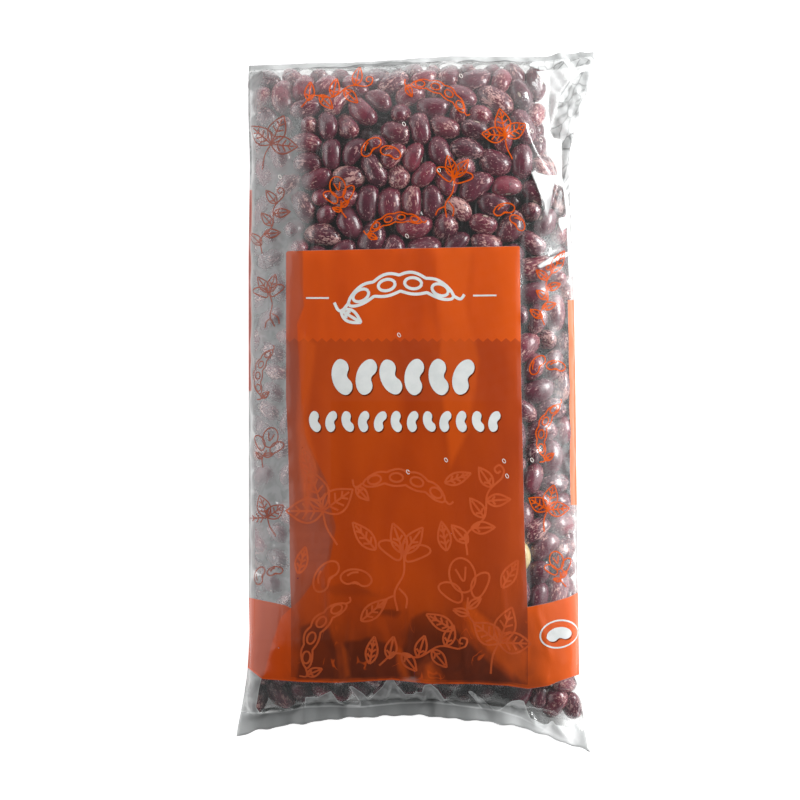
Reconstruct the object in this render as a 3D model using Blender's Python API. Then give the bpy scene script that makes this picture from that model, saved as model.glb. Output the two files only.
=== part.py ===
"""Pillow bag of dried beans, lying on its back with the printed face up.

Metres, +Z up. X runs across the bag, +Y towards its top seal, and the origin is the middle of
the bag's footprint on the table. The bag is one piece: a tube of film, filled and sealed flat at
both ends. Its solid is the filled form: a crowned top, a flat rest below, a flat fin at each
end, the empty corners that a pillow bag has, and the beans' relief through the film.
"""

import math

import bmesh
import bpy
import numpy as np

# Driving dimensions of the filled bag
LENGTH = 0.2960  # from edge to edge of the two fins, on the middle line
CROWN = 0.0380  # highest point of the smooth film above the table
FOLD_HEIGHT = 0.0155  # the side folds, where the top half meets the lower half
FIN_HEIGHT = 0.0118  # the two sealed fins
FIN_THICKNESS = 0.0012
TOP_FIN = 0.0034  # plan width of the fin beyond the beans at the top, where it hangs
TOP_FIN_HANG = 0.0038
BOTTOM_FIN = 0.0080

# Half widths of the film, at distances below the middle of the top edge. The empty tube is wider
# than the filled one, so the outline flares towards the flat ends, and below the empty top right
# corner it is drawn in.
LEFT_OUTLINE = (
    (0.000, 0.0742),
    (0.024, 0.0740),
    (0.046, 0.0732),
    (0.090, 0.0738),
    (0.240, 0.0737),
    (0.258, 0.0734),
    (0.274, 0.0746),
    (0.284, 0.0766),
    (0.296, 0.0800),
)
RIGHT_OUTLINE = (
    (0.000, 0.0828),
    (0.012, 0.0802),
    (0.022, 0.0770),
    (0.036, 0.0724),
    (0.044, 0.0703),
    (0.054, 0.0705),
    (0.075, 0.0714),
    (0.108, 0.0726),
    (0.140, 0.0732),
    (0.240, 0.0744),
    (0.274, 0.0752),
    (0.286, 0.0772),
    (0.296, 0.0806),
)
OUTLINE_ROUNDING = 0.004

# How far the end edges lie beyond the middle line's ends, at shares of the half width
BOTTOM_EDGE = (
    (-1.00, 0.0106),
    (-0.88, 0.0074),
    (-0.70, 0.0048),
    (-0.40, 0.0016),
    (0.00, 0.0000),
    (0.40, 0.0030),
    (0.62, 0.0058),
    (0.80, 0.0112),
    (1.00, 0.0176),
)
TOP_EDGE = ((-1.00, -0.0022), (-0.30, -0.0012), (0.20, 0.0014), (0.70, 0.0012), (1.00, 0.0040))
EDGE_REACH = 0.022
EDGE_ROUNDING = 0.05  # a share of the half width

# How far in from its fin each end reaches full height, and the roundness of its profile: over
# a lower power it rises more steeply
TOP_END = (0.060, 2.2, 0.5)
BOTTOM_END = (0.072, 2.0, 0.55)

# How boxy the cross-section is above and below the side folds, and how much further the lower
# half would hang without the table, which presses it flat
TOP_SECTION = 2.45
LOWER_SECTION = 4.2
LOWER_FILL = 0.7
PRESSED_FLAT = 1.12

# The flat empty corners: how wide, and how far along the side they reach
TOP_RIGHT_EAR = (0.0200, 0.074)
BOTTOM_LEFT_EAR = (0.0050, 0.024)
BOTTOM_RIGHT_EAR = (0.0040, 0.020)
EAR_RAMP = 1.0  # the film rises to the beans over this many ear widths
CORNER_DROOP = 0.0060
DROOP_POWER = 3

# Beans, as they show through the film
BEAN_LENGTH = 0.0144
BEAN_WIDTH = 0.0104
BEAN_RELIEF = 0.0024
BEAN_ROUNDNESS = 0.78
GAP_LEVEL = 0.45  # share of the relief that lies below the smooth form, between the beans
BEAN_PITCH = 0.0114
BEAN_SPREAD = 0.28  # each bean is off its even place by up to this share of the pitch
BEAN_SIZES = (0.88, 1.10)
RELIEF_FADE = (2.2, 0.35)  # where the bag is thin, no bean lies behind the film
PLEAT_HEIGHT = 0.0020
PLEAT_REACH = 0.026
PLEATS = ((0.0131, 0.4), (0.0219, 1.9), (0.0347, 4.1))  # wavelength and phase of each wave
SEED = 7

COLUMNS = 44
ROWS = 84
FINE = 900  # samples along a curve before it is divided evenly
FILM_COLOUR = (0.52, 0.09, 0.02, 1.0)


def eased(value):
    """0 to 1, with a level start and end."""
    value = np.clip(value, 0.0, 1.0)
    return value * value * (3.0 - 2.0 * value)


def rounded(table, where, rounding):
    """A value read from a table of places and values, averaged over a short reach."""
    places, values = np.array(table).T
    offsets = np.linspace(-rounding, rounding, 9)
    return sum(np.interp(where + offset, places, values) for offset in offsets) / len(offsets)


def half_widths(station):
    """Left and right half width of the film's outline at a distance along the middle line."""
    from_top = LENGTH / 2 - station
    left = rounded(LEFT_OUTLINE, from_top, OUTLINE_ROUNDING)
    return left, rounded(RIGHT_OUTLINE, from_top, OUTLINE_ROUNDING)


def share_across(x, station):
    """-1 at the left outline, 0 on the middle line and 1 at the right outline."""
    left, right = half_widths(station)
    return np.where(x < 0, x / left, x / right)


def place_along(x, station):
    """The y of a point, with both end edges bent as they lie in plan."""
    across = share_across(x, station)
    near_bottom = np.exp(-(station + LENGTH / 2) / EDGE_REACH)
    near_top = np.exp(-(LENGTH / 2 - station) / EDGE_REACH)
    bottom = rounded(BOTTOM_EDGE, across, EDGE_ROUNDING) * near_bottom
    return station - bottom + rounded(TOP_EDGE, across, EDGE_ROUNDING) * near_top


def end_share(station):
    """0 on both fins, rising to 1 where the bag has its full height."""
    from_fins = (LENGTH / 2 - TOP_FIN - station, station + LENGTH / 2 - BOTTOM_FIN)
    share = 1.0
    for from_fin, (reach, curve, steepness) in zip(from_fins, (TOP_END, BOTTOM_END)):
        rise = 1.0 - (1.0 - np.clip(from_fin / reach, 0.0, 1.0)) ** curve
        share = share * rise**steepness
    return share


def ear_share(x, station):
    """0 on the empty corners, 1 where beans fill the bag."""
    left, right = half_widths(station)
    corners = (
        (right - x, LENGTH / 2 - station, TOP_RIGHT_EAR),
        (right - x, station + LENGTH / 2, BOTTOM_RIGHT_EAR),
        (left + x, station + LENGTH / 2, BOTTOM_LEFT_EAR),
    )
    share = 1.0
    for from_side, from_end, (width, reach) in corners:
        flat = width * (1.0 - eased(from_end / reach)) + 1e-5
        share = share * eased((from_side - flat) / (EAR_RAMP * flat)) ** 0.5
    return share


def section_share(across, exponent):
    """Height of a superellipse at a share of its half width."""
    return np.clip(1.0 - np.abs(across) ** exponent, 0.0, 1.0) ** (1.0 / exponent)


def pleats(x, station):
    """Ripples that the flat seals force into the film beside them."""
    from_end = np.minimum(station + LENGTH / 2, LENGTH / 2 - station)
    wave = sum(np.sin(math.tau * x / length + phase) for length, phase in PLEATS)
    return PLEAT_HEIGHT * wave / len(PLEATS) * np.exp(-from_end / PLEAT_REACH)


def middle_height(x, station):
    """Height of the surface between the top half and the lower half."""
    full = end_share(station)
    across = np.abs(share_across(x, station))
    droop = CORNER_DROOP * across**DROOP_POWER * (1.0 - full)
    hang = TOP_FIN_HANG * np.clip(1.0 - (LENGTH / 2 - station) / TOP_FIN, 0.0, 1.0)
    level = FIN_HEIGHT + (FOLD_HEIGHT - FIN_HEIGHT) * full
    return level - droop - hang + pleats(x, station) * (1.0 - full)


def surface_height(x, station, side):
    """Height of the film above the table: side 1 is the top layer and -1 the lower one."""
    filled = end_share(station) * ear_share(x, station)
    across = share_across(x, station)
    middle = middle_height(x, station)
    if side > 0:
        rise = (CROWN - FOLD_HEIGHT) * section_share(across, TOP_SECTION) * filled
        return middle + FIN_THICKNESS / 2 + rise
    drop = FOLD_HEIGHT * section_share(across, LOWER_SECTION) * filled**LOWER_FILL * PRESSED_FLAT
    return np.maximum(middle - FIN_THICKNESS / 2 - drop, 0.0)


def evenly(points, count):
    """The same polyline with count points, spaced evenly along it."""
    steps = np.linalg.norm(np.diff(points, axis=0), axis=1)
    along = np.concatenate([[0.0], np.cumsum(steps)])
    wanted = np.linspace(0.0, along[-1], count)
    return np.stack([np.interp(wanted, along, column) for column in points.T], axis=1)


def row_stations():
    """Stations of the rows, closer together where the ends are steep."""
    station = np.linspace(-LENGTH / 2, LENGTH / 2, FINE)
    profile = np.stack([station, surface_height(np.zeros_like(station), station, 1)], axis=1)
    return evenly(profile, ROWS + 1)[:, 0]


def row_points(station, side):
    """Points of one row of film from its left outline to its right one."""
    left, right = half_widths(station)
    turn = np.linspace(-math.pi / 2, math.pi / 2, FINE)
    x = np.where(turn < 0, left, right) * np.sin(turn)
    stations = np.full_like(x, station)
    row = np.stack([x, place_along(x, stations), surface_height(x, stations, side)], axis=1)
    return evenly(row, COLUMNS + 1)


def bean_places():
    """Middle, direction and size of each bean against the film, in distances on the film."""
    random = np.random.default_rng(SEED)
    width = 2 * LEFT_OUTLINE[0][1]
    places = []
    for row in range(int(LENGTH / BEAN_PITCH) + 1):
        for column in range(int(width / BEAN_PITCH) + 1):
            aside, along = random.uniform(-BEAN_SPREAD, BEAN_SPREAD, 2)
            u = (column + 0.5 * (row % 2) + aside) * BEAN_PITCH - width / 2
            v = (row + along) * BEAN_PITCH - LENGTH / 2
            places.append((u, v, random.uniform(0, math.pi), random.uniform(*BEAN_SIZES)))
    return np.array(places)


def bean_relief(u, v, beans):
    """How far the beans lift the film at each place on it."""
    reach = np.full(len(u), 4.0)
    for bean_u, bean_v, turn, size in beans:
        du, dv = u - bean_u, v - bean_v
        long_way = (du * math.cos(turn) + dv * math.sin(turn)) / (size * BEAN_LENGTH / 2)
        short_way = (dv * math.cos(turn) - du * math.sin(turn)) / (size * BEAN_WIDTH / 2)
        reach = np.minimum(reach, long_way**2 + short_way**2)
    return BEAN_RELIEF * (np.sqrt(np.clip(1.0 - BEAN_ROUNDNESS * reach, 0.0, 1.0)) - GAP_LEVEL)


def film_layers():
    """Points of the top and the lower layer, as arrays of rows and columns, with the relief."""
    stations = row_stations()
    beans = bean_places()
    layers = {}
    for side in (1, -1):
        points = np.array([row_points(station, side) for station in stations])
        flat = np.linspace(-LEFT_OUTLINE[0][1], LEFT_OUTLINE[0][1], COLUMNS + 1)
        u, v = np.meshgrid(flat, stations)
        shift = 0.5 * BEAN_PITCH if side < 0 else 0.0
        relief = bean_relief(u.ravel() + shift, v.ravel(), beans).reshape(u.shape)
        filled = end_share(v) * ear_share(points[..., 0], v)
        relief = relief * eased(filled * RELIEF_FADE[0] - RELIEF_FADE[1])
        normal = np.cross(np.gradient(points, axis=1), np.gradient(points, axis=0)) * side
        normal /= np.linalg.norm(normal, axis=2, keepdims=True)
        relief[:, [0, -1]] = 0.0
        moved = points + normal * relief[..., None]
        resting = points[..., 2] <= 0.0
        moved[resting] = points[resting]
        moved[..., 2] = np.maximum(moved[..., 2], 0.0)
        layers[side] = moved
    return layers


def flat_bag():
    """The empty bag laid flat: a grid of film, its copy above, and the fold that joins them."""
    bm = bmesh.new()
    bmesh.ops.create_grid(bm, x_segments=COLUMNS, y_segments=ROWS, size=1.0)
    lower = bm.verts[:]
    made = bmesh.ops.extrude_face_region(bm, geom=bm.faces[:], use_keep_orig=True)
    upper = [item for item in made["geom"] if isinstance(item, bmesh.types.BMVert)]
    return bm, {1: upper, -1: lower}


def film_material():
    """The film's own colour, as one value for the whole bag."""
    material = bpy.data.materials.new("printed film")
    material.use_nodes = True
    shader = material.node_tree.nodes["Principled BSDF"]
    shader.inputs["Base Color"].default_value = FILM_COLOUR
    shader.inputs["Roughness"].default_value = 0.25
    shader.inputs["Metallic"].default_value = 0.0
    return material


def make_bag(collection):
    """Fills the flat bag: each of its points goes to its place on the filled form."""
    layers = film_layers()
    bm, vertices = flat_bag()
    for side, group in vertices.items():
        for vertex in group:
            column = round((vertex.co.x + 1) / 2 * COLUMNS)
            row = round((vertex.co.y + 1) / 2 * ROWS)
            vertex.co = layers[side][row, column]
    corners = np.array([vertex.co for vertex in bm.verts])
    middle = (corners.min(axis=0) + corners.max(axis=0)) / 2
    bmesh.ops.translate(bm, verts=bm.verts, vec=(-middle[0], -middle[1], 0.0))
    bmesh.ops.recalc_face_normals(bm, faces=bm.faces)
    mesh = bpy.data.meshes.new("bean_bag")
    bm.to_mesh(mesh)
    bm.free()
    mesh.shade_smooth()
    mesh.materials.append(film_material())
    bag = bpy.data.objects.new("bean_bag", mesh)
    collection.objects.link(bag)
    return bag


def main():
    for item in list(bpy.data.objects):
        bpy.data.objects.remove(item)
    collection = bpy.data.collections.new("bag of dried beans")
    bpy.context.scene.collection.children.link(collection)
    make_bag(collection)


main()
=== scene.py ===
"""Dresses the bag of dried beans: the beans themselves, the clear film drawn over them, and its print."""

import math
from types import SimpleNamespace

import bpy
import numpy as np
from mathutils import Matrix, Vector
from mathutils.bvhtree import BVHTree

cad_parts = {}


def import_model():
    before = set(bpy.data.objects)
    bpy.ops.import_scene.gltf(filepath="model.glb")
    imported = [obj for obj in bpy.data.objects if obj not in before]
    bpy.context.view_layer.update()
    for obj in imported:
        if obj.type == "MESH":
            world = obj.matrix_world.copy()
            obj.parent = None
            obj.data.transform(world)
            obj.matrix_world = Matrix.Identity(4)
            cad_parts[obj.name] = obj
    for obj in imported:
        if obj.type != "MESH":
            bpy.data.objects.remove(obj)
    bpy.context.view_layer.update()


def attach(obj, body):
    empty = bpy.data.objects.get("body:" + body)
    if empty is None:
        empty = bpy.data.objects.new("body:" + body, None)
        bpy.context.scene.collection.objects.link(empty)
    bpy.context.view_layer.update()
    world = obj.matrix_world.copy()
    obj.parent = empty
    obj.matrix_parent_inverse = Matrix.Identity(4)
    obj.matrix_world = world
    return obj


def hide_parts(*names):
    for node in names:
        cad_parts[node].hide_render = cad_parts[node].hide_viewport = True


MM = 0.001
PIXEL = 0.45 * MM  # one pixel of the photograph, at the bag's outline
MIDDLE_PIXEL = (415.8, 401.5)  # the pixel at the middle of the bag's box
OUTLINE_LEVEL = 0.015  # the height of that outline over the table
CAMERA_PIXEL = (400.0, 400.0)  # the pixel under the camera
CAMERA_DISTANCE = 1.6  # from the outline's level
FRAME_PIXELS = 800
SENSOR_WIDTH = 36.0  # millimetres

# The filled bag's smooth form, in metres, the same as the solid's
LENGTH = 0.2960
CROWN = 0.0380
FOLD_HEIGHT = 0.0155
FIN_HEIGHT = 0.0118
FIN_THICKNESS = 0.0003
TOP_FIN = 0.0034
TOP_FIN_HANG = 0.0038
BOTTOM_FIN = 0.0080
# Distance from the top end, and the half width there
LEFT_OUTLINE = (
    (0.000, 0.0742), (0.024, 0.0740), (0.046, 0.0732), (0.090, 0.0738), (0.240, 0.0737), (0.258, 0.0734),
    (0.274, 0.0746), (0.284, 0.0766), (0.296, 0.0800),
)
RIGHT_OUTLINE = (
    (0.000, 0.0828), (0.012, 0.0802), (0.022, 0.0770), (0.036, 0.0724), (0.044, 0.0703), (0.054, 0.0705),
    (0.075, 0.0714), (0.108, 0.0726), (0.140, 0.0732), (0.240, 0.0744), (0.274, 0.0752), (0.286, 0.0772),
    (0.296, 0.0806),
)
OUTLINE_ROUNDING = 0.004
# Share of the half width, and how far the end is drawn in there
BOTTOM_EDGE = (
    (-1.00, 0.0106), (-0.88, 0.0074), (-0.70, 0.0048), (-0.40, 0.0016), (0.00, 0.0000), (0.40, 0.0030),
    (0.62, 0.0058), (0.80, 0.0112), (1.00, 0.0176),
)
TOP_EDGE = ((-1.00, -0.0022), (-0.30, -0.0012), (0.20, 0.0014), (0.70, 0.0012), (1.00, 0.0040))
EDGE_REACH = 0.022
EDGE_ROUNDING = 0.05
# How far in each end swells, and the curve and steepness of its swell
TOP_END = (0.060, 2.2, 0.5)
BOTTOM_END = (0.072, 2.0, 0.55)
TOP_SECTION = 2.45  # exponents of the section's upper and lower curve
LOWER_SECTION = 4.2
LOWER_FILL = 0.7
PRESSED_FLAT = 1.12
# Width and reach of each slack corner
TOP_RIGHT_EAR = (0.0200, 0.074)
BOTTOM_LEFT_EAR = (0.0050, 0.024)
BOTTOM_RIGHT_EAR = (0.0040, 0.020)
EAR_RAMP = 1.0
CORNER_DROOP = 0.0060
DROOP_POWER = 3
PLEAT_HEIGHT = 0.0020
PLEAT_REACH = 0.026
PLEATS = ((0.0131, 0.4), (0.0219, 1.9), (0.0347, 4.1))  # length and phase of each wave
PROFILE_STEPS = 900
SECTION_STEPS = 700
COARSE_GRID = (84, 44)

# Left of this line (row, column of the photograph) the film leans over to the side
LEAN_LINE = (
    (60, 302), (290, 303), (306, 304), (324, 297), (380, 300), (435, 305), (462, 317), (482, 327),
    (508, 331), (527, 336), (560, 330), (600, 300), (617, 281), (643, 272), (679, 263), (740, 262),
)
LEAN = 0.29  # slope
LEAN_FADE = 0.014
LEAN_HEIGHTS = (0.022, 0.008)  # where the lean sets in, and over what rise it comes in full

# Beans
SEED = 21
BEAN_COUNT = 1030
BEAN_SHAPES = 12
BEAN_RADIUS = 5.0 * MM
BEAN_HALF_LENGTH = 7.8 * MM
SIZE_SPREAD = (0.86, 1.15)
THICKNESS_SPREAD = (0.95, 1.05)
LENGTH_SPREAD = (0.93, 1.07)
PACK_STEPS = 200
START_SIZE = 0.55
LIE_FLAT = 0.12
WALL_PULL = 0.10 * MM
END_PULL = 0.35 * MM
END_PULL_FROM = (-0.112, 0.128)
PALE_BEAN_PIXEL = (518, 556)
PALE_SKIN = ((0.70, 0.48, 0.16), (0.80, 0.66, 0.34))
# Deep and rosy ground, flecks, and how much of the skin the flecks take
BEAN_SKINS = (
    ("beans_plum", ((0.070, 0.010, 0.025), (0.165, 0.023, 0.048), (0.74, 0.42, 0.41), 0.62)),
    ("beans_mottled", ((0.090, 0.013, 0.031), (0.205, 0.035, 0.058), (0.80, 0.47, 0.43), 1.02)),
    ("beans_rosy", ((0.110, 0.013, 0.034), (0.275, 0.038, 0.066), (0.80, 0.46, 0.42), 0.82)),
)
SHARE_OF_EACH = (0.42, 0.24, 0.34)
# The deep inner beans' skin is painted darker: painted shade, seen in the gaps between the outer beans
INNER_PAINTED_SHADE_SKIN = ((0.026, 0.008, 0.013), (0.060, 0.014, 0.022), (0.30, 0.17, 0.16), 0.5)

# Film
COLUMNS = 184
ROWS = 330
END_ROWS = (1.2, 0.026)  # how much closer the rows lie near the ends, and how far in
FILM_WIDTH = 156.0  # millimetres across one face, laid flat
SHEEN = 0.10  # the share of light that clear film throws back where it faces the eye
BRIGHT_ORANGE = ((0.56, 0.060, 0.0006), (0.73, 0.090, 0.0010))
# Lighter orange towards the panel's right: painted light
PAINTED_LIGHT_ORANGE = (0.78, 0.115, 0.002)
RUST = ((0.41, 0.044, 0.0010), (0.54, 0.067, 0.0014))
# Darker rust towards the foot: painted shade
RUST_IN_PAINTED_SHADE = (0.33, 0.043, 0.004)
# The milk's greys; the darkest serves the painted shade
MILK_GREYS = ((0.030, 0.034, 0.034), (0.86, 0.88, 0.88))
# The white of the painted glare
GLARE_WHITE = (0.93, 0.94, 0.94)
CLEAR_GLOSS = (0.95, 0.97, 0.97)
FILM_GAP = 0.12 * MM  # between the film and the beans
DEEPEST_TAUT = 2.2 * MM
DEEPEST_HUG = 1.2 * MM
TOUCH_REACH = 1.5 * MM
# Waves of the foot's cut edge: rate, phase and share of each
RIPPLES = ((430.0, 1.0, 0.55), (770.0, 0.0, 0.45))
RIPPLE_HEIGHT = 0.48 * MM
RIPPLE_REACH = 5.0  # millimetres
TOP_SEAL = 2.4  # millimetres
CAST_FROM = 4.0 * MM  # how far outside the film each ray starts
CAST_REACH = 10.0 * MM
OPEN_ROOM = 6.0 * MM
BACK_HUG = 0.8
FILM_ATTRIBUTES = ("film_plan", "film_ink", "film_milk", "film_lie", "film_painted_marks")
FAR_OUTSIDE = -9.0  # millimetres
# Raised folds: from and to in pixels of the photograph, height and half width in millimetres
CREASES = (
    ((536, 268), (574, 250), 1.5, 2.6), ((534, 256), (566, 262), 1.0, 2.0),
    ((548, 285), (574, 268), 0.8, 2.0), ((545, 216), (532, 170), 1.2, 2.0),
    ((547, 216), (560, 176), 1.2, 2.0), ((560, 214), (566, 150), 0.9, 2.2),
    ((548, 131), (558, 92), 1.4, 2.4), ((558, 92), (588, 66), 1.4, 2.4), ((552, 137), (572, 128), 1.2, 2.0),
    ((560, 108), (584, 96), 1.2, 1.8), ((566, 122), (580, 82), 1.0, 1.6),
    ((349, 687), (371, 707), 1.0, 1.4), ((331, 691), (322, 706), 0.9, 1.8),
    ((392, 677), (384, 700), 1.2, 2.0), ((392, 677), (406, 696), 1.2, 1.6),
    ((428, 684), (421, 704), 1.2, 2.0), ((431, 685), (446, 702), 1.2, 1.6),
    ((466, 690), (492, 712), 1.1, 1.4), ((514, 700), (498, 714), 1.0, 2.0),
    ((524, 701), (536, 726), 1.1, 1.6), ((552, 721), (570, 742), 1.0, 2.0),
    ((262, 714), (250, 708), 0.8, 1.4), ((325, 560), (331, 640), 0.35, 3.0),
    ((352, 610), (346, 676), 0.40, 2.4), ((410, 600), (404, 678), 0.45, 2.6),
    ((462, 612), (466, 682), 0.40, 2.4), ((500, 560), (506, 640), 0.30, 3.0),
    ((536, 606), (552, 664), 0.45, 2.4), ((436, 246), (437, 330), 0.22, 2.0),
    ((476, 252), (470, 330), 0.15, 3.0), ((360, 470), (352, 560), 0.20, 4.0),
)

# Print, in pixels of the photograph
PANEL = (
    (286, 251), (520, 246), (521.4, 390), (522.7, 441), (524, 507), (525, 546), (527, 585), (528, 640),
    (528, 685), (509, 682), (475, 680), (430, 680), (392, 676), (340, 679), (300, 678), (291, 677),
    (291, 608), (290, 580), (289.3, 508), (288, 444), (286, 400),
)
BAND_TOP = (
    (240, 596), (251, 598), (285, 605), (291, 608), (528, 607), (548, 603), (569, 597), (579, 592),
    (590, 588),
)
BAND_FOOT = (
    (240, 662), (248, 668), (262, 679), (300, 682), (340, 683), (392, 680), (430, 684), (475, 684),
    (509, 686), (528, 689), (548, 686), (560, 681), (578, 675), (590, 668),
)
ZIGZAG = (340.0, 9.2, 3.8)  # its middle row, the width of a tooth, and its depth
LEFT_FIELD = (190, 391)  # first and last row of each side's orange field
RIGHT_FIELD = (300, 505)
BACK_BAND = (632.0, 17.8)  # its middle row, and its half width in millimetres

# The slack film's milky folds and its white patches of painted glare, in pixels of the photograph
FOLDS = (
    ((236, 662), (249, 668), (262, 676), (259, 690), (256, 707), (262, 716), (262, 760), (222, 760)),
    ((305, 697), (318, 697), (331, 691), (339, 703), (345, 705), (361, 706), (366, 726), (305, 726)),
    ((348, 686), (352, 686), (364, 694), (372, 704), (376, 716), (362, 716), (360, 702)),
    (
        (364, 712), (366, 702), (382, 687), (387, 679), (392, 677), (397, 685), (405, 694), (418, 694),
        (424, 716),
    ),
    (
        (412, 716), (415, 692), (422, 692), (424, 685), (431, 684), (438, 690), (444, 699), (455, 705),
        (470, 709), (470, 724),
    ),
    ((466, 690), (472, 691), (484, 700), (495, 711), (488, 716), (478, 704)),
    (
        (470, 708), (495, 711), (500, 710), (507, 704), (512, 701), (519, 700), (524, 701), (528, 713),
        (532, 721), (538, 725), (548, 724), (552, 720), (556, 725), (568, 727), (575, 723), (582, 732),
        (588, 727), (600, 720), (604, 770), (470, 740),
    ),
    ((578, 663), (592, 706), (584, 712), (580, 690), (574, 676)),
)
EAR_FOLDS = (
    (
        (550, 131), (557, 110), (560, 93), (570, 80), (582, 72), (593, 70), (592, 77), (584, 94),
        (579, 112), (571, 138), (568, 142), (560, 139), (554, 138),
    ),
    (
        (562, 140), (570, 138), (578, 112), (590, 76), (600, 60), (604, 60), (584, 104), (578, 128),
        (573, 150), (574, 215), (577, 276), (569, 276), (566, 215), (562, 175),
    ),
    ((528, 58), (560, 52), (600, 46), (600, 62), (582, 66), (560, 70), (540, 70), (530, 66)),
)
# Column of the photograph, and how light the folds at the foot are painted there, as painted light and
# shade
FOOT_GREYS = (
    (235, 0.60), (250, 0.48), (262, 0.27), (300, 0.24), (420, 0.22), (480, 0.34), (520, 0.72), (560, 0.95),
    (590, 1.00),
)
# The inner edge of the foot's seal
FIN_LINE = (
    (225, 706), (244, 712), (262, 713.5), (285, 711), (305, 707), (330, 706), (360, 707), (400, 703),
    (430, 702), (455, 705), (480, 708), (500, 711), (520, 717), (540, 727), (560, 736), (580, 746),
    (600, 756),
)
# Where the slack film catches the light: painted white glare
GLARE = (
    (
        (535, 71), (582, 67), (570, 79), (560, 92), (555, 110), (549, 131), (546, 125), (546, 102),
        (547, 88), (540, 77),
    ),
    ((530, 170), (547, 175), (561, 175.5), (555, 182), (550, 208), (546.5, 219), (544, 203), (535, 182)),
    ((558.5, 217.5), (568, 216), (568, 227), (561.5, 232), (558.5, 224)),
    ((536.8, 265.5), (552, 256.5), (569, 251), (568, 256.5), (552, 263.5), (540, 268.5)),
    ((548, 252), (559, 247.5), (557, 251), (550, 255)),
    ((540, 733), (552, 722), (560, 732), (574, 727), (582, 738), (576, 746), (560, 742)),
)

# The printed film's painted shade and painted light on its folds near the bottom, in pixels of the
# photograph
PAINTED_SHADE_FOLDS = (
    ((343, 641), (368, 636), (395, 645), (400, 681), (345, 680)),
    (
        (410, 617), (425, 611), (440, 613), (452, 625), (467, 640), (490, 662), (517, 685), (447, 685),
        (440, 668), (427, 657), (418, 668), (413, 684), (404, 684), (402, 650),
    ),
    ((299, 626), (312, 622), (330, 628), (338, 650), (340, 680), (296, 680), (300, 655)),
    ((322, 586), (352, 580), (380, 596), (402, 612), (396, 620), (370, 612), (340, 606)),
)
# Painted shade between the folds below the band
FOOT_SHADE = (
    (257, 678), (300, 683), (392, 681), (475, 685), (509, 687), (530, 690), (520, 699), (512, 700),
    (502, 709), (470, 706), (455, 702), (444, 697), (438, 688), (430, 683), (421, 690), (405, 693),
    (397, 683), (387, 678), (366, 699), (352, 686), (345, 703), (331, 690), (318, 695), (305, 697),
    (300, 708), (262, 712), (257, 700),
)
# Painted light on the printed film's folds
PAINTED_LIGHT_FOLDS = (
    ((396, 645), (402, 650), (412, 676), (414, 684), (402, 684), (398, 664)),
    ((424, 664), (433, 660), (438, 684), (424, 684)),
    ((341, 643), (347, 650), (352, 678), (344, 679)),
    ((462, 600), (485, 616), (512, 640), (528, 652), (528, 684), (520, 682), (496, 660), (470, 632)),
    ((437, 247), (472, 247), (466, 300), (480, 360), (470, 430), (450, 470), (440, 380)),
    ((540, 602), (562, 598), (556, 622), (546, 628), (536, 616)),
    ((562, 652), (576, 640), (578, 662), (570, 674), (560, 676)),
    ((300, 330), (316, 345), (308, 420), (318, 470), (306, 520), (296, 430)),
)


# ---------------------------------------------------------------- form of the filled bag


def eased(value):
    """0 to 1, with a level start and end."""
    value = np.clip(value, 0.0, 1.0)
    return value * value * (3.0 - 2.0 * value)


def rounded(table, where, rounding):
    """A value read from a table of places and values, averaged over a short reach."""
    places, values = np.array(table).T
    offsets = np.linspace(-rounding, rounding, 9)
    return sum(np.interp(where + offset, places, values) for offset in offsets) / len(offsets)


def half_widths(station):
    from_top = LENGTH / 2 - station
    left = rounded(LEFT_OUTLINE, from_top, OUTLINE_ROUNDING)
    return left, rounded(RIGHT_OUTLINE, from_top, OUTLINE_ROUNDING)


def share_across(x, station):
    left, right = half_widths(station)
    return np.where(x < 0, x / left, x / right)


def place_along(x, station):
    """The place along the bag, with both ends drawn in as their edges are."""
    across = share_across(x, station)
    near_bottom = np.exp(-(station + LENGTH / 2) / EDGE_REACH)
    near_top = np.exp(-(LENGTH / 2 - station) / EDGE_REACH)
    bottom = rounded(BOTTOM_EDGE, across, EDGE_ROUNDING) * near_bottom
    return station - bottom + rounded(TOP_EDGE, across, EDGE_ROUNDING) * near_top


def end_share(station):
    """How full the bag is along its length, 0 at each sealed end."""
    from_fins = (LENGTH / 2 - TOP_FIN - station, station + LENGTH / 2 - BOTTOM_FIN)
    share = 1.0
    for from_fin, (reach, curve, steepness) in zip(from_fins, (TOP_END, BOTTOM_END)):
        rise = 1.0 - (1.0 - np.clip(from_fin / reach, 0.0, 1.0)) ** curve
        share = share * rise**steepness
    return share


def ear_share(x, station):
    """How full the bag is near its slack corners."""
    left, right = half_widths(station)
    corners = (
        (right - x, LENGTH / 2 - station, TOP_RIGHT_EAR),
        (right - x, station + LENGTH / 2, BOTTOM_RIGHT_EAR),
        (left + x, station + LENGTH / 2, BOTTOM_LEFT_EAR),
    )
    share = 1.0
    for from_side, from_end, (width, reach) in corners:
        flat = width * (1.0 - eased(from_end / reach)) + 1e-5
        share = share * eased((from_side - flat) / (EAR_RAMP * flat)) ** 0.5
    return share


def section_share(across, exponent):
    return np.clip(1.0 - np.abs(across) ** exponent, 0.0, 1.0) ** (1.0 / exponent)


def pleats(x, station):
    from_end = np.minimum(station + LENGTH / 2, LENGTH / 2 - station)
    wave = sum(np.sin(math.tau * x / length + phase) for length, phase in PLEATS)
    return PLEAT_HEIGHT * wave / len(PLEATS) * np.exp(-from_end / PLEAT_REACH)


def middle_height(x, station):
    """The height at which the front and the back film meet at the sides and ends."""
    full = end_share(station)
    across = np.abs(share_across(x, station))
    droop = CORNER_DROOP * across**DROOP_POWER * (1.0 - full)
    hang = TOP_FIN_HANG * np.clip(1.0 - (LENGTH / 2 - station) / TOP_FIN, 0.0, 1.0)
    level = FIN_HEIGHT + (FOLD_HEIGHT - FIN_HEIGHT) * full
    return level - droop - hang + pleats(x, station) * (1.0 - full)


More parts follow.
